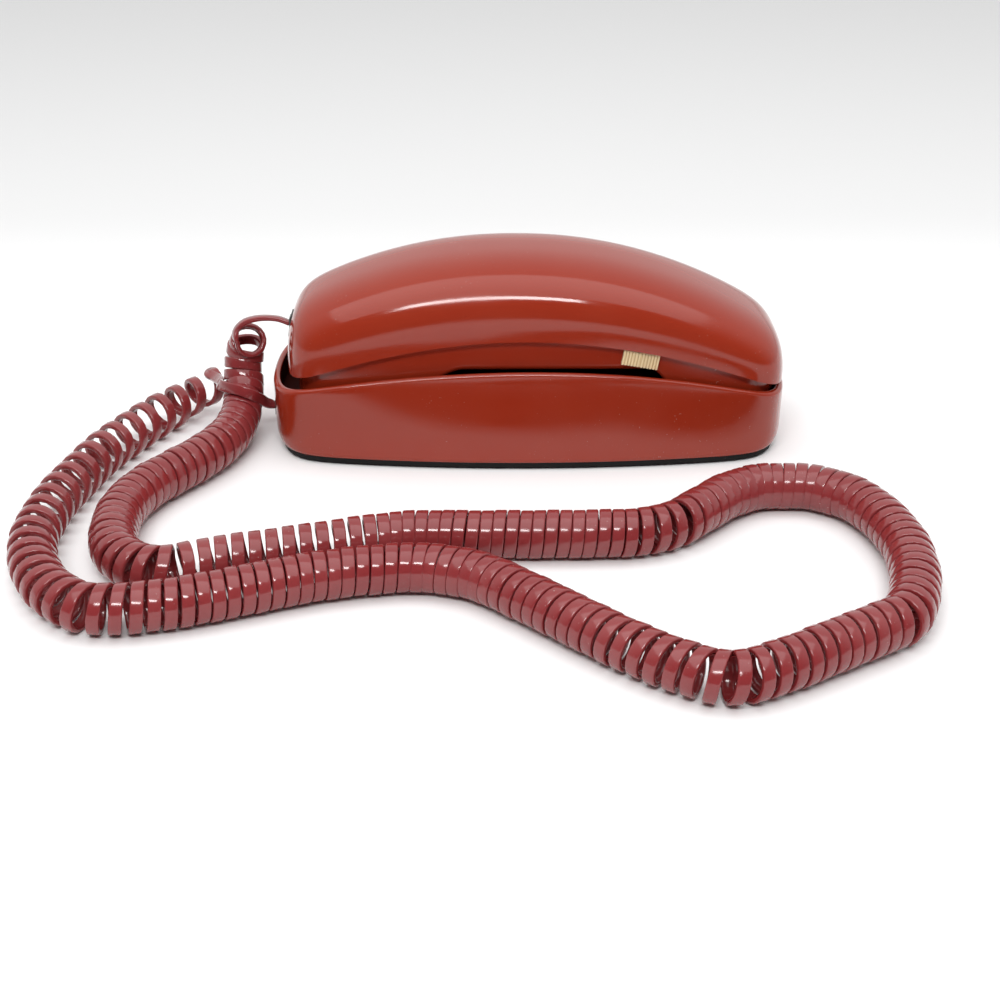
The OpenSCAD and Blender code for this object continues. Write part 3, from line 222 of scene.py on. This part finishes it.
def grid_mesh(name, rings, caps=True):
    """A mesh through rows of points, each row a ring."""
    n, m = rings.shape[:2]
    verts = rings.reshape(-1, 3)
    faces = []
    for i in range(n - 1):
        for j in range(m):
            k = (j + 1) % m
            faces.append((i * m + j, i * m + k, (i + 1) * m + k, (i + 1) * m + j))
    if caps:
        faces.append(tuple(range(m - 1, -1, -1)))
        faces.append(tuple((n - 1) * m + j for j in range(m)))
    mesh = bpy.data.meshes.new(name)
    mesh.from_pydata(verts.tolist(), [], faces)
    mesh.validate()
    piece = bpy.data.objects.new(name, mesh)
    bpy.context.scene.collection.objects.link(piece)
    mesh.shade_smooth()
    return piece


cord = grid_mesh("curly_cord", rings)


def node_material(name):
    """A new material with one Principled shader. Returns it, its nodes, links and shader."""
    material = bpy.data.materials.new(name)
    material.use_nodes = True
    tree = material.node_tree
    shader = tree.nodes["Principled BSDF"]
    return material, tree.nodes, tree.links, shader


def group_socket(tree, name, way, kind="NodeSocketFloat", value=None):
    socket = tree.interface.new_socket(name=name, in_out=way, socket_type=kind)
    if value is not None:
        socket.default_value = value


def linear(r, g, b):
    """A colour given as it looks on a screen, 0 to 255, as Blender wants it."""
    out = []
    for v in (r, g, b):
        v /= 255
        out.append(v / 12.92 if v <= 0.04045 else ((v + 0.055) / 1.055) ** 2.4)
    return (*out, 1.0)


# Handling marks on moulded plastic: a soft mottle of the colour, fine dust
# specks, faint hairline scratches and a patchy shine, all in the object's space.
marks = bpy.data.node_groups.new("handled_plastic", "ShaderNodeTree")
group_socket(marks, "Color", "INPUT", "NodeSocketColor", (0.5, 0.5, 0.5, 1))
group_socket(marks, "Worn Color", "INPUT", "NodeSocketColor", (0.6, 0.6, 0.6, 1))
group_socket(marks, "Dust Color", "INPUT", "NodeSocketColor", (0.7, 0.68, 0.64, 1))
group_socket(marks, "Mottle", "INPUT", value=0.12)
group_socket(marks, "Dust", "INPUT", value=0.5)
group_socket(marks, "Scratches", "INPUT", value=0.4)
group_socket(marks, "Shine", "INPUT", value=0.16)
group_socket(marks, "Color", "OUTPUT", "NodeSocketColor")
group_socket(marks, "Roughness", "OUTPUT")
group_socket(marks, "Height", "OUTPUT")
gn, gl = marks.nodes, marks.links
g_in = gn.new("NodeGroupInput")
g_out = gn.new("NodeGroupOutput")
coord = gn.new("ShaderNodeTexCoord")


def noise_of(scale, detail=3.0, rough=0.5, source=None):
    node = gn.new("ShaderNodeTexNoise")
    node.inputs["Scale"].default_value = scale
    node.inputs["Detail"].default_value = detail
    node.inputs["Roughness"].default_value = rough
    gl.new(source or coord.outputs["Object"], node.inputs["Vector"])
    return node.outputs["Fac"]


def ramp_of(value, low, high, a=0.0, b=1.0):
    node = gn.new("ShaderNodeMapRange")
    node.interpolation_type = "SMOOTHSTEP"
    node.inputs["From Min"].default_value = low
    node.inputs["From Max"].default_value = high
    node.inputs["To Min"].default_value = a
    node.inputs["To Max"].default_value = b
    gl.new(value, node.inputs["Value"])
    return node.outputs["Result"]


def maths(kind, a, b):
    node = gn.new("ShaderNodeMath")
    node.operation = kind
    for socket, v in zip(node.inputs, (a, b)):
        if isinstance(v, (int, float)):
            socket.default_value = v
        else:
            gl.new(v, socket)
    return node.outputs["Value"]


def mix_of(factor, a, b):
    node = gn.new("ShaderNodeMix")
    node.data_type = "RGBA"
    gl.new(factor, node.inputs["Factor"])
    for name, v in (("A", a), ("B", b)):
        socket = [s for s in node.inputs if s.name == name and s.type == "RGBA"][0]
        gl.new(v, socket)
    return [s for s in node.outputs if s.type == "RGBA"][0]


mottle = maths("MULTIPLY", ramp_of(noise_of(34, 4), 0.38, 0.72), g_in.outputs["Mottle"])
color = mix_of(mottle, g_in.outputs["Color"], g_in.outputs["Worn Color"])
specks = maths("MULTIPLY", ramp_of(noise_of(1500, 1), 0.735, 0.80), ramp_of(noise_of(22, 2), 0.45, 0.62))
specks = maths("MULTIPLY", specks, g_in.outputs["Dust"])
color = mix_of(specks, color, g_in.outputs["Dust Color"])
stretch = gn.new("ShaderNodeMapping")
stretch.inputs["Scale"].default_value = (9, 160, 160)
stretch.inputs["Rotation"].default_value = (0.1, 0.25, 0.4)
gl.new(coord.outputs["Object"], stretch.inputs["Vector"])
hair = noise_of(9, 2, 0.6, stretch.outputs["Vector"])
hairline = maths("MULTIPLY", ramp_of(maths("ABSOLUTE", maths("SUBTRACT", hair, 0.5), 0), 0.012, 0.0),
                 ramp_of(noise_of(15, 2), 0.5, 0.66))
hairline = maths("MULTIPLY", hairline, g_in.outputs["Scratches"])
patchy = ramp_of(noise_of(26, 3), 0.35, 0.75, 0.0, 0.07)
rough = maths("ADD", g_in.outputs["Shine"], patchy)
rough = maths("ADD", rough, maths("MULTIPLY", hairline, 0.18))
rough = maths("ADD", rough, maths("MULTIPLY", specks, 0.4))
height = maths("ADD", maths("MULTIPLY", noise_of(170, 2), 0.5), maths("MULTIPLY", noise_of(24, 2), 1.6))
height = maths("SUBTRACT", height, maths("MULTIPLY", hairline, 0.15))
height = maths("ADD", height, maths("MULTIPLY", specks, 0.6))
gl.new(color, g_out.inputs["Color"])
gl.new(rough, g_out.inputs["Roughness"])
gl.new(height, g_out.inputs["Height"])


def plastic(name, color, worn, dust_color=(0.62, 0.55, 0.5, 1), mottle=0.12, dust=0.5,
            scratches=0.4, shine=0.16, bump=0.02, coat=0.0):
    """A moulded plastic with the handling marks above."""
    material, mn, ml, shader = node_material(name)
    group = mn.new("ShaderNodeGroup")
    group.node_tree = marks
    group.inputs["Color"].default_value = color
    group.inputs["Worn Color"].default_value = worn
    group.inputs["Dust Color"].default_value = dust_color
    group.inputs["Mottle"].default_value = mottle
    group.inputs["Dust"].default_value = dust
    group.inputs["Scratches"].default_value = scratches
    group.inputs["Shine"].default_value = shine
    bump_node = mn.new("ShaderNodeBump")
    bump_node.inputs["Strength"].default_value = bump
    bump_node.inputs["Distance"].default_value = 0.001
    ml.new(group.outputs["Color"], shader.inputs["Base Color"])
    ml.new(group.outputs["Roughness"], shader.inputs["Roughness"])
    ml.new(group.outputs["Height"], bump_node.inputs["Height"])
    ml.new(bump_node.outputs["Normal"], shader.inputs["Normal"])
    shader.inputs["IOR"].default_value = 1.5
    shader.inputs["Coat Weight"].default_value = coat
    return material


def set_shader(material, socket, value):
    material.node_tree.nodes["Principled BSDF"].inputs[socket].default_value = value


def dress(piece, material):
    piece.data.materials.clear()
    piece.data.materials.append(material)


cord_pvc = plastic("cord_pvc", linear(130, 44, 46), linear(148, 70, 70), mottle=0.35, dust=0.5,
                   scratches=0.4, shine=0.12, bump=0.03, coat=0.2)
dress(cord, cord_pvc)


def round_ring(half_a, half_b, r, steps=4):
    """Points round a rectangle with rounded corners, as two columns."""
    out = []
    for sa, sb, a0 in ((1, 1, 0), (-1, 1, 90), (-1, -1, 180), (1, -1, 270)):
        for k in range(steps + 1):
            t = math.radians(a0 + 90 * k / steps)
            out.append((sa * (half_a - r) + r * math.cos(t), sb * (half_b - r) + r * math.sin(t)))
    return np.array(out)


# the smoky clear plug: only its tail shows in the handset's jack
HANDSET_JACK_Z = 50.4
plug_rows = []
for x, inset in ((-91.0, 0.5), (-91.5, 0), (-101.5, 0), (-102.1, 0.45)):
    ring = round_ring(3.85 - inset, 3.25 - inset, 0.6)
    plug_rows.append(np.column_stack([np.full(len(ring), x), ring[:, 0], ring[:, 1] + HANDSET_JACK_Z]) * MM)
handset_plug = grid_mesh("handset_plug", np.array(plug_rows))
handset_plug.data.set_sharp_from_angle(angle=0.7)
smoky = plastic("smoky_pc", linear(46, 40, 38), linear(66, 58, 54), mottle=0.2, shine=0.12)
dress(handset_plug, smoky)
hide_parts("handset_cord_plug")
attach(handset_plug, "handset")
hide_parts("handset_cord")
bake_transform(cord)


# ---------------------------------------------------------------- base housing
# A long tub moulded in one piece of glossy red ABS. Its wall leans out to a
# rounded rim, and a cradle deck inside it carries the handset.
BASE_A, BASE_W, BOW = 109.5, 78.0, 3.2
FOOT_BELLY, FOOT_BOW = 3.0, 6.5
RIM_MID, RIM_CORD, RIM_EAR = 42.7, 31.1, 28.7
WALL, DECK_T = 2.9, 2.4
FLOOR_Z = 3.4
END_M = 2.2
BASE_N, BOTTOM_N = 20, 18
HS_LEFT, HS_RIGHT = -102.9, 109.0
HS_C, HS_A = (HS_LEFT + HS_RIGHT) / 2, (HS_RIGHT - HS_LEFT) / 2
HS_W = 75.4
FACE_A, FACE_W = HS_A - 4, HS_W - 6
FACE_LEFT, FACE_RIGHT = HS_C - FACE_A, HS_C + FACE_A
EDGE_MID = RIM_MID + 13.4
CUP_Z, FACE_Z = RIM_EAR - 7, EDGE_MID - 14.2
DECK_CUP, DECK_Z = CUP_Z - 0.3, FACE_Z - 4.5
CUP_FAR, MOUTH_SLOPE, EAR_SLOPE = 36.0, 72.0, 56.0


def smooth_step(t):
    t = np.clip(t, 0, 1)
    return t * t * (3 - 2 * t)


def end_turn(u, n):
    return np.maximum(0, 1 - np.minimum(1, np.abs(u)) ** n) ** (1 / END_M)


def plan_half(x, a, w, n):
    u = np.minimum(1, np.abs(x) / a)
    return (w / 2 - BOW * u * u) * end_turn(u, n)


def stations(a, n, turn=26, middle=120):
    """Places along a shell, close together where its end turns."""
    phi = np.linspace(0, math.radians(84), turn)
    near = a * (1 - np.sin(phi) ** END_M) ** (1 / n)
    mid = np.linspace(-near[-1], near[-1], middle)
    return np.concatenate([-near[:-1], mid, near[:-1][::-1]])


def rim_z(x):
    u = np.clip(x / BASE_A, -1, 1)
    end = (RIM_CORD * (1 - u) + RIM_EAR * (1 + u)) / 2
    return RIM_MID - (RIM_MID - end) * u * u


def arch_share(x, shift=0.0):
    return smooth_step(np.minimum((x - FACE_LEFT - shift - CUP_FAR) / (MOUTH_SLOPE - CUP_FAR),
                                  (FACE_RIGHT - x - shift - CUP_FAR) / (EAR_SLOPE - CUP_FAR)))


def deck_at(x):
    return DECK_CUP + (DECK_Z - DECK_CUP) * arch_share(x, 3.0)


def base_ring(inset, height, draw=0.0):
    """One ring round the base at an inset from the outline and a height over x."""
    a = BASE_A - inset - draw
    xs = stations(a, BASE_N)
    zs = height(xs)
    share = np.clip((zs - FLOOR_Z) / (rim_z(xs) - FLOOR_Z), 0, 1)
    w = BASE_W - 2 * inset + 2 * (1 - share) * (FOOT_BELLY - FOOT_BOW * np.minimum(1, np.abs(xs) / a) ** 2)
    ws = plan_half(xs, a, w, BOTTOM_N + (BASE_N - BOTTOM_N) * share)
    near = np.stack([xs, -ws, zs], 1)
    far = np.stack([xs, ws, zs], 1)[::-1]
    return np.vstack([near, far[1:-1]]) * MM


def loft(name, rings, caps=()):
    """A closed shell through rings, with strips across the rings named in caps."""
    m = len(rings[0])
    verts = np.vstack(rings)
    half = m // 2
    faces = []
    n = len(rings)
    for i in range(n):
        k = (i + 1) % n
        if k == 0 and caps:
            break
        for j in range(m):
            jj = (j + 1) % m
            faces.append((i * m + j, i * m + jj, k * m + jj, k * m + j))
    extra = []
    for ring_no, turned in caps:
        base = ring_no * m
        cols = 14
        rows = []
        for j in range(half + 1):
            a = base + j
            b = base + (m - j) % m
            if j in (0, half):
                rows.append([a] * (cols + 1))
                continue
            row = [a]
            for c in range(1, cols):
                t = c / cols
                extra.append(verts[a] * (1 - t) + verts[b] * t)
                row.append(len(verts) + len(extra) - 1)
            row.append(b)
            rows.append(row)
        for r0, r1 in zip(rows, rows[1:]):
            for c in range(cols):
                quad = [r0[c], r0[c + 1], r1[c + 1], r1[c]]
                quad = [v for k, v in enumerate(quad) if v not in quad[:k]]
                if len(quad) > 2:
                    faces.append(tuple(quad[::-1] if turned else quad))
    if extra:
        verts = np.vstack([verts, np.array(extra)])
    mesh = bpy.data.meshes.new(name)
    mesh.from_pydata(verts.tolist(), [], faces)
    mesh.validate()
    piece = bpy.data.objects.new(name, mesh)
    bpy.context.scene.collection.objects.link(piece)
    return piece


def tidy_mesh(piece):
    """Points all faces outwards and keeps only real edges sharp."""
    bm = bmesh.new()
    bm.from_mesh(piece.data)
    bmesh.ops.remove_doubles(bm, verts=bm.verts, dist=2e-6)
    bmesh.ops.recalc_face_normals(bm, faces=bm.faces)
    bm.to_mesh(piece.data)
    bm.free()
    piece.data.shade_smooth()
    piece.data.set_sharp_from_angle(angle=math.radians(38))


LIP_R = WALL / 2
housing_rings = [base_ring(WALL + 0.5, lambda x: deck_at(x) - DECK_T),
                 base_ring(WALL, lambda x: deck_at(x) - DECK_T - 0.5),
                 base_ring(WALL, lambda x: FLOOR_Z + 0 * x),
                 base_ring(0.5, lambda x: FLOOR_Z + 0 * x, 1.5)]
for lift in (0.25, 0.6, 1.2, 2.2, 3.6, 6.0):
    draw = 1.5 * max(0.0, 1 - lift / 6.0) ** 2
    inset = 0.5 * max(0.0, 1 - lift / 1.2) ** 2
    housing_rings.append(base_ring(inset, lambda x, z=lift: FLOOR_Z + z + 0 * x, draw))
for share in np.linspace(0.1, 0.9, 9):
    housing_rings.append(base_ring(0, lambda x, s=share: (FLOOR_Z + 6) * (1 - s)
                                   + (rim_z(x) - LIP_R) * s))
for deg in range(0, 181, 15):
    a = math.radians(deg)
    housing_rings.append(base_ring(LIP_R * (1 - math.cos(a)),
                                   lambda x, a=a: rim_z(x) - LIP_R + LIP_R * math.sin(a)))
for share in (0.2, 0.5, 0.8, 0.93):
    housing_rings.append(base_ring(WALL, lambda x, s=share: (rim_z(x) - LIP_R) * (1 - s)
                                   + (deck_at(x) + 0.6) * s))
housing_rings.append(base_ring(WALL, lambda x: deck_at(x) + 0.5))
housing_rings.append(base_ring(WALL + 0.5, deck_at))
housing = loft("base_housing_shell", housing_rings, caps=((len(housing_rings) - 1, False), (0, True)))
tidy_mesh(housing)


def prism(outline, low, high, axis):
    """A closed solid: an outline of (a, b) points in mm, drawn along an axis."""
    verts = []
    for end in (low, high):
        for a, b in outline:
            point = [a, b]
            point.insert(axis, end)
            verts.append([v * MM for v in point])
    n = len(outline)
    faces = [tuple(range(n)), tuple(range(2 * n - 1, n - 1, -1))]
    faces += [(k, n + k, n + (k + 1) % n, (k + 1) % n) for k in range(n)]
    mesh = bpy.data.meshes.new("cutter")
    mesh.from_pydata(verts, [], faces)
    mesh.update()
    piece = bpy.data.objects.new("cutter", mesh)
    bpy.context.scene.collection.objects.link(piece)
    bm = bmesh.new()
    bm.from_mesh(mesh)
    bmesh.ops.recalc_face_normals(bm, faces=bm.faces)
    bm.to_mesh(mesh)
    bm.free()
    return piece


def round_outline(a, b, half_a, half_b, r, steps=6):
    """A rectangle with rounded corners round (a, b); r as large as a half makes it round."""
    return [(a + p, b + q) for p, q in round_ring(half_a, half_b, r, steps)]


def cut_out(piece, cutters):
    """Takes the cutters out of a shell and removes them."""
    for cutter in cutters:
        cut = piece.modifiers.new("cut", "BOOLEAN")
        cut.operation = "DIFFERENCE"
        cut.solver = "EXACT"
        cut.object = cutter
    graph = bpy.context.evaluated_depsgraph_get()
    mesh = bpy.data.meshes.new_from_object(piece.evaluated_get(graph))
    piece.modifiers.clear()
    piece.data = mesh
    for cutter in cutters:
        bpy.data.objects.remove(cutter)


# the plunger's bore, the card's bed, the two jacks' mouths and the ringer slide's slot
cut_out(housing, [
    prism(round_outline(46, 0, 3.48, 3.48, 3.48, 10), 30, 45, 2),
    prism(round_outline(10, 0, 28.2, 19.2, 1.0), 36.1, 45, 2),
    prism(round_outline(0, 12.5, 6.4, 6.0, 0.8), -118, -102, 0),
    prism(round_outline(-50, 12.5, 6.4, 6.0, 0.8), 30, 44, 1),
    prism(round_outline(41.8, 17, 4.9, 2.05, 0.5), 30, 44, 1),
])
tidy_mesh(housing)
red_plastic = plastic("red_abs", linear(147, 44, 23), linear(155, 60, 40), mottle=0.16, dust=0.35,
                      scratches=0.35, shine=0.09, bump=0.02)
dress(housing, red_plastic)
# the cradle's inner faces get a much darker, matte red with little shine: painted shade for the deep, unlit
# cavity inside the rim
painted_shade_red = plastic("red_abs_painted_shade", linear(48, 9, 4), linear(60, 16, 9), mottle=0.3, dust=0.2,
                     scratches=0.2, shine=0.5, bump=0.05)
set_shader(painted_shade_red, "Specular IOR Level", 0.05)
housing.data.materials.append(painted_shade_red)
INNER_EDGE = 1.9
# faces inside the rim, from just under the rim down to the deck's underside, take the painted shade red
for panel in housing.data.polygons:
    x, y, z = panel.center / MM
    out_y = float(plan_half(np.array(x), BASE_A, BASE_W, BASE_N))
    in_painted_shade = abs(y) < out_y - INNER_EDGE and abs(x) < BASE_A - INNER_EDGE
    if in_painted_shade and z < rim_z(x) - 1.0 and z > deck_at(x) - DECK_T - 1:
        panel.material_index = 1
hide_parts("base_housing")
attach(housing, "base")


# ---------------------------------------------------------------- handset back
# The crowned outer shell of the handset, one glossy red ABS moulding that laps
# over the face shell.
CROWN_Z = EDGE_MID + 29.2
CROWN_FALL, CROWN_POWER, CROWN_SHIFT = 29.8, 2.12, -9.5
EDGE_PEAK, EDGE_POWER = -2.4, 1.93
HS_N, CROWN_N = 20, 31
BACK_WALL = 2.4


def edge_z(x):
    u = (x - EDGE_PEAK) / np.where(x < EDGE_PEAK, HS_LEFT - EDGE_PEAK, HS_RIGHT - EDGE_PEAK)
    end = np.where(x < EDGE_PEAK, RIM_CORD + 3.9, RIM_EAR + 2.5)
    return EDGE_MID - (EDGE_MID - end) * np.clip(u, 0, 1) ** EDGE_POWER


def top_z(x):
    return CROWN_Z - CROWN_FALL * (np.abs(x - HS_C - CROWN_SHIFT) / HS_A) ** CROWN_POWER


def arches(inset, drop, xs, steps=56):
    a, w = HS_A - inset, HS_W - 2 * inset
    xs = xs * a / HS_A
    half = plan_half(xs, a, w, HS_N)
    low = edge_z(xs + HS_C)
    high = (top_z(xs + HS_C) - drop - low) * end_turn(xs / a, CROWN_N)
    th = np.linspace(0, math.pi, steps + 1)
    c, s = np.cos(th), np.maximum(0, np.sin(th))
    y = np.sign(c) * np.abs(c) ** (2 / 2.8)
    z = s ** (2 / 3.0)
    return np.stack([np.repeat((HS_C + xs)[:, None], steps + 1, 1), -half[:, None] * y,
                     low[:, None] + high[:, None] * z], 2) * MM


hs_x = stations(HS_A, HS_N, 30, 130)
outer = arches(0, 0, hs_x)
inner = arches(BACK_WALL, BACK_WALL, hs_x)
walls = [np.vstack([o, i[::-1]]) for o, i in zip(outer, inner)]
back = grid_mesh("handset_back_shell", np.array(walls), caps=False)
tidy_mesh(back)
cut_out(back, [prism(round_outline(0, HANDSET_JACK_Z, 4.5, 4.45, 0.6), -112, -97, 0)])
tidy_mesh(back)
dress(back, red_plastic)
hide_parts("handset_back")
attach(back, "handset")

# a thin black frame round the jack's mouth, pressed into the shell's end
loops = []
for push, half_y, half_z in ((0.9, 4.8, 4.75), (-0.1, 4.8, 4.75), (-0.25, 4.65, 4.6), (-0.25, 4.2, 3.65),
                             (-0.1, 4.05, 3.5), (0.9, 4.05, 3.5), (0.9, 4.8, 4.75)):
    ring = round_ring(half_y, half_z, 0.7)
    x = -101.7 + push + 0.165 * ring[:, 1]
    loops.append(np.column_stack([x, ring[:, 0], ring[:, 1] + HANDSET_JACK_Z]) * MM)
bezel = grid_mesh("handset_jack_bezel", np.array(loops), caps=False)
tidy_mesh(bezel)
black_abs = plastic("black_abs", linear(24, 23, 22), linear(40, 38, 36), mottle=0.3, shine=0.35, bump=0.05)
dress(bezel, black_abs)
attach(bezel, "handset")


# ---------------------------------------------------------------- handset face
# The face shell that closes the handset: the same ABS, arched in the middle,
# with the earpiece cup at one end and the mouthpiece cup at the other.
FACE_WALL, FACE_ROUND, TUCK = 2.2, 3.0, 1.2


def face_at(x):
    s = np.minimum(x - FACE_LEFT, FACE_RIGHT - x)
    return CUP_Z + (FACE_Z - CUP_Z) * arch_share(x) + 3.0 * np.maximum(0, 1 - s / 8.0) ** 2


def face_ring(inset, edge_share, lift):
    a = FACE_A - inset
    xs = stations(a, HS_N)
    zs = edge_share * edge_z(xs + HS_C) + (1 - edge_share) * face_at(xs + HS_C) + lift
    ws = plan_half(xs, a, FACE_W - 2 * inset, HS_N)
    near = np.stack([HS_C + xs, -ws, zs], 1)
    far = np.stack([HS_C + xs, ws, zs], 1)[::-1]
    return np.vstack([near, far[1:-1]]) * MM


face_rings = [face_ring(FACE_ROUND, 0, FACE_WALL), face_ring(FACE_WALL, 0, FACE_ROUND),
              face_ring(FACE_WALL, 1, TUCK), face_ring(0, 1, TUCK)]
for deg in range(0, 91, 15):
    a = math.radians(deg)
    face_rings.append(face_ring(FACE_ROUND * (1 - math.cos(a)), 0, FACE_ROUND * (1 - math.sin(a))))
face_shell = loft("handset_face_shell", face_rings, caps=((len(face_rings) - 1, False), (0, True)))
tidy_mesh(face_shell)
EAR_X, MOUTH_X = 83.0, -76.9
HOLE_R, SCREW_R, SCREW_HEAD_R = 1.1, 1.7, 3.0
holes = [prism(round_outline(5.8, 0, 31.4, 23.7, 0.8), 36, 50, 2)]
for k in range(7):
    turn = math.radians(60 * k)
    off = 0 if k == 6 else 5.0
    x, y = EAR_X + off * math.cos(turn), off * math.sin(turn)
    holes.append(prism(round_outline(x, y, HOLE_R, HOLE_R, HOLE_R, 4), 15, 30, 2))
for y in (-4, 0, 4):
    holes.append(prism(round_outline(MOUTH_X, y, HOLE_R, HOLE_R, HOLE_R, 4), 15, 30, 2))
for x, y in ((EAR_X, 19), (EAR_X, -19), (MOUTH_X, 14), (MOUTH_X, -14)):
    holes.append(prism(round_outline(x, y, SCREW_R, SCREW_R, SCREW_R, 5), 15, 30, 2))
    head = round_outline(x, y, SCREW_HEAD_R, SCREW_HEAD_R, SCREW_HEAD_R, 6)
    holes.append(prism(head, 15, CUP_Z + 1.2, 2))
cut_out(face_shell, holes)
tidy_mesh(face_shell)
dress(face_shell, red_plastic)
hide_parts("handset_face")
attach(face_shell, "handset")


# ---------------------------------------------------------------- carried-over parts
# Mounting hardware, boards and small parts keep their CAD forms and get the
# finish of the real material.
plate_abs = plastic("plate_abs", linear(22, 22, 22), linear(34, 34, 34), mottle=0.3, shine=0.55, bump=0.05)
set_shader(plate_abs, "Specular IOR Level", 0.15)
rubber = plastic("black_rubber", linear(30, 29, 28), linear(46, 44, 42), mottle=0.4, shine=0.7, bump=0.1)
cream = plastic("cream_abs", linear(236, 214, 170), linear(206, 182, 134), mottle=0.3, shine=0.3)
clear = plastic("clear_pc", linear(205, 205, 200), linear(190, 190, 184), mottle=0.1, shine=0.08)
key_plastic = plastic("key_abs", linear(150, 48, 32), linear(160, 66, 50), shine=0.3)
steel = plastic("zinc_steel", linear(170, 170, 168), linear(140, 138, 132), mottle=0.4, shine=0.3)
set_shader(steel, "Metallic", 1.0)
board = plastic("board_green", linear(40, 84, 48), linear(60, 104, 60), mottle=0.3, shine=0.35)
card = plastic("card_paper", linear(228, 224, 210), linear(210, 204, 186), mottle=0.3, shine=0.8)
copper = plastic("lead_pvc", linear(170, 40, 34), linear(60, 60, 58), mottle=0.4, shine=0.4)
finish_of = {
    "base_plate": plate_abs, "base_feet": rubber, "base_screws": steel, "base_board": board,
    "base_board_screws": steel, "line_jack": black_abs, "base_cord_jack": black_abs,
    "hook_switch": black_abs, "hook_plunger": black_abs, "hook_spring": steel,
    "line_transformer": black_abs, "line_capacitor": key_plastic, "ringer_chip": black_abs,
    "ringer_sounder": black_abs, "ringer_switch": black_abs, "ringer_knob": cream,
    "number_card": card, "card_window": clear, "base_leads": copper, "keypad_plate": black_abs,
    "recall_key": key_plastic, "key_membrane": rubber, "dial_board": board,
    "dial_board_screws": steel, "dial_chip": black_abs, "dial_parts": black_abs,
    "receiver": steel, "receiver_gasket": rubber, "microphone": steel, "microphone_boot": rubber,
    "volume_switch": black_abs, "volume_knob": cream, "handset_cord_jack": black_abs,
    "handset_screws": steel, "handset_leads": copper, "base_cord_plug": smoky,
}
for digit in ("1", "2", "3", "4", "5", "6", "7", "8", "9", "star", "0", "pound"):
    finish_of["key_" + digit] = key_plastic
for name, material in finish_of.items():
    dress(nodes[name], material)


# ---------------------------------------------------------------- floor and light
# A plain pale floor whose colour is painted darker behind the phone as painted shade for the dimmer far
# floor, a pale world that is brighter behind than in front, a wide panel overhead and a narrow strip in
# front.
floor_mesh = bpy.data.meshes.new("floor")
floor_mesh.from_pydata([(-4, -4, 0), (4, -4, 0), (4, 4, 0), (-4, 4, 0)], [], [(0, 1, 2, 3)])
floor = bpy.data.objects.new("floor", floor_mesh)
bpy.context.scene.collection.objects.link(floor)
floor_paint, fn, fl, fs = node_material("floor_paper")
where = fn.new("ShaderNodeTexCoord")
parts = fn.new("ShaderNodeSeparateXYZ")
fl.new(where.outputs["Object"], parts.inputs["Vector"])
# painted shade: the floor's colour falls from 0.92 to 0.82 with distance behind the phone, where the far
# floor gets less light
far = fn.new("ShaderNodeMapRange")
far.interpolation_type = "SMOOTHSTEP"
far.inputs["From Min"].default_value = 0.16
far.inputs["From Max"].default_value = 0.32
far.inputs["To Min"].default_value = 0.92
far.inputs["To Max"].default_value = 0.82
fl.new(parts.outputs["Y"], far.inputs["Value"])
fl.new(far.outputs["Result"], fs.inputs["Base Color"])
fs.inputs["Roughness"].default_value = 0.6
fs.inputs["Specular IOR Level"].default_value = 0.2
dress(floor, floor_paint)

world = bpy.data.worlds.new("studio")
bpy.context.scene.world = world
world.use_nodes = True
wn, wl = world.node_tree.nodes, world.node_tree.links
sky = wn["Background"]
way = wn.new("ShaderNodeTexCoord")
tilt = wn.new("ShaderNodeVectorMath")
tilt.operation = "DOT_PRODUCT"
tilt.inputs[1].default_value = (0.0, 1.0, 0.35)
wl.new(way.outputs["Generated"], tilt.inputs[0])
fade = wn.new("ShaderNodeMapRange")
fade.interpolation_type = "SMOOTHSTEP"
fade.inputs["From Min"].default_value = -0.6
fade.inputs["From Max"].default_value = 0.5
fade.inputs["To Min"].default_value = 0.10
fade.inputs["To Max"].default_value = 0.85
wl.new(tilt.outputs["Value"], fade.inputs["Value"])
wl.new(fade.outputs["Result"], sky.inputs["Strength"])
path = wn.new("ShaderNodeLightPath")
white = wn.new("ShaderNodeBackground")
white.inputs["Color"].default_value = (1, 1, 1, 1)
white.inputs["Strength"].default_value = 0.86
sky.inputs["Color"].default_value = (1, 1, 1, 1)
either = wn.new("ShaderNodeMixShader")
wl.new(path.outputs["Is Camera Ray"], either.inputs["Fac"])
wl.new(sky.outputs["Background"], either.inputs[1])
wl.new(white.outputs["Background"], either.inputs[2])
wl.new(either.outputs["Shader"], wn["World Output"].inputs["Surface"])


def soft_lamp(name, at, target, width, height, watts):
    data = bpy.data.lights.new(name, "AREA")
    data.shape = "RECTANGLE"
    data.size, data.size_y = width, height
    data.energy = watts
    lamp = bpy.data.objects.new(name, data)
    lamp.location = at
    lamp.rotation_euler = (Vector(target) - Vector(at)).to_track_quat("-Z", "Y").to_euler()
    bpy.context.scene.collection.objects.link(lamp)


soft_lamp("ceiling_panel", (0.0, -0.45, 1.5), (0, -0.45, 0), 2.4, 1.6, 16.5)
soft_lamp("window_strip", (-0.12, -1.05, 1.06), (0, 0, 0.05), 0.85, 0.18, 10)

bpy.context.scene.view_settings.view_transform = "Standard"
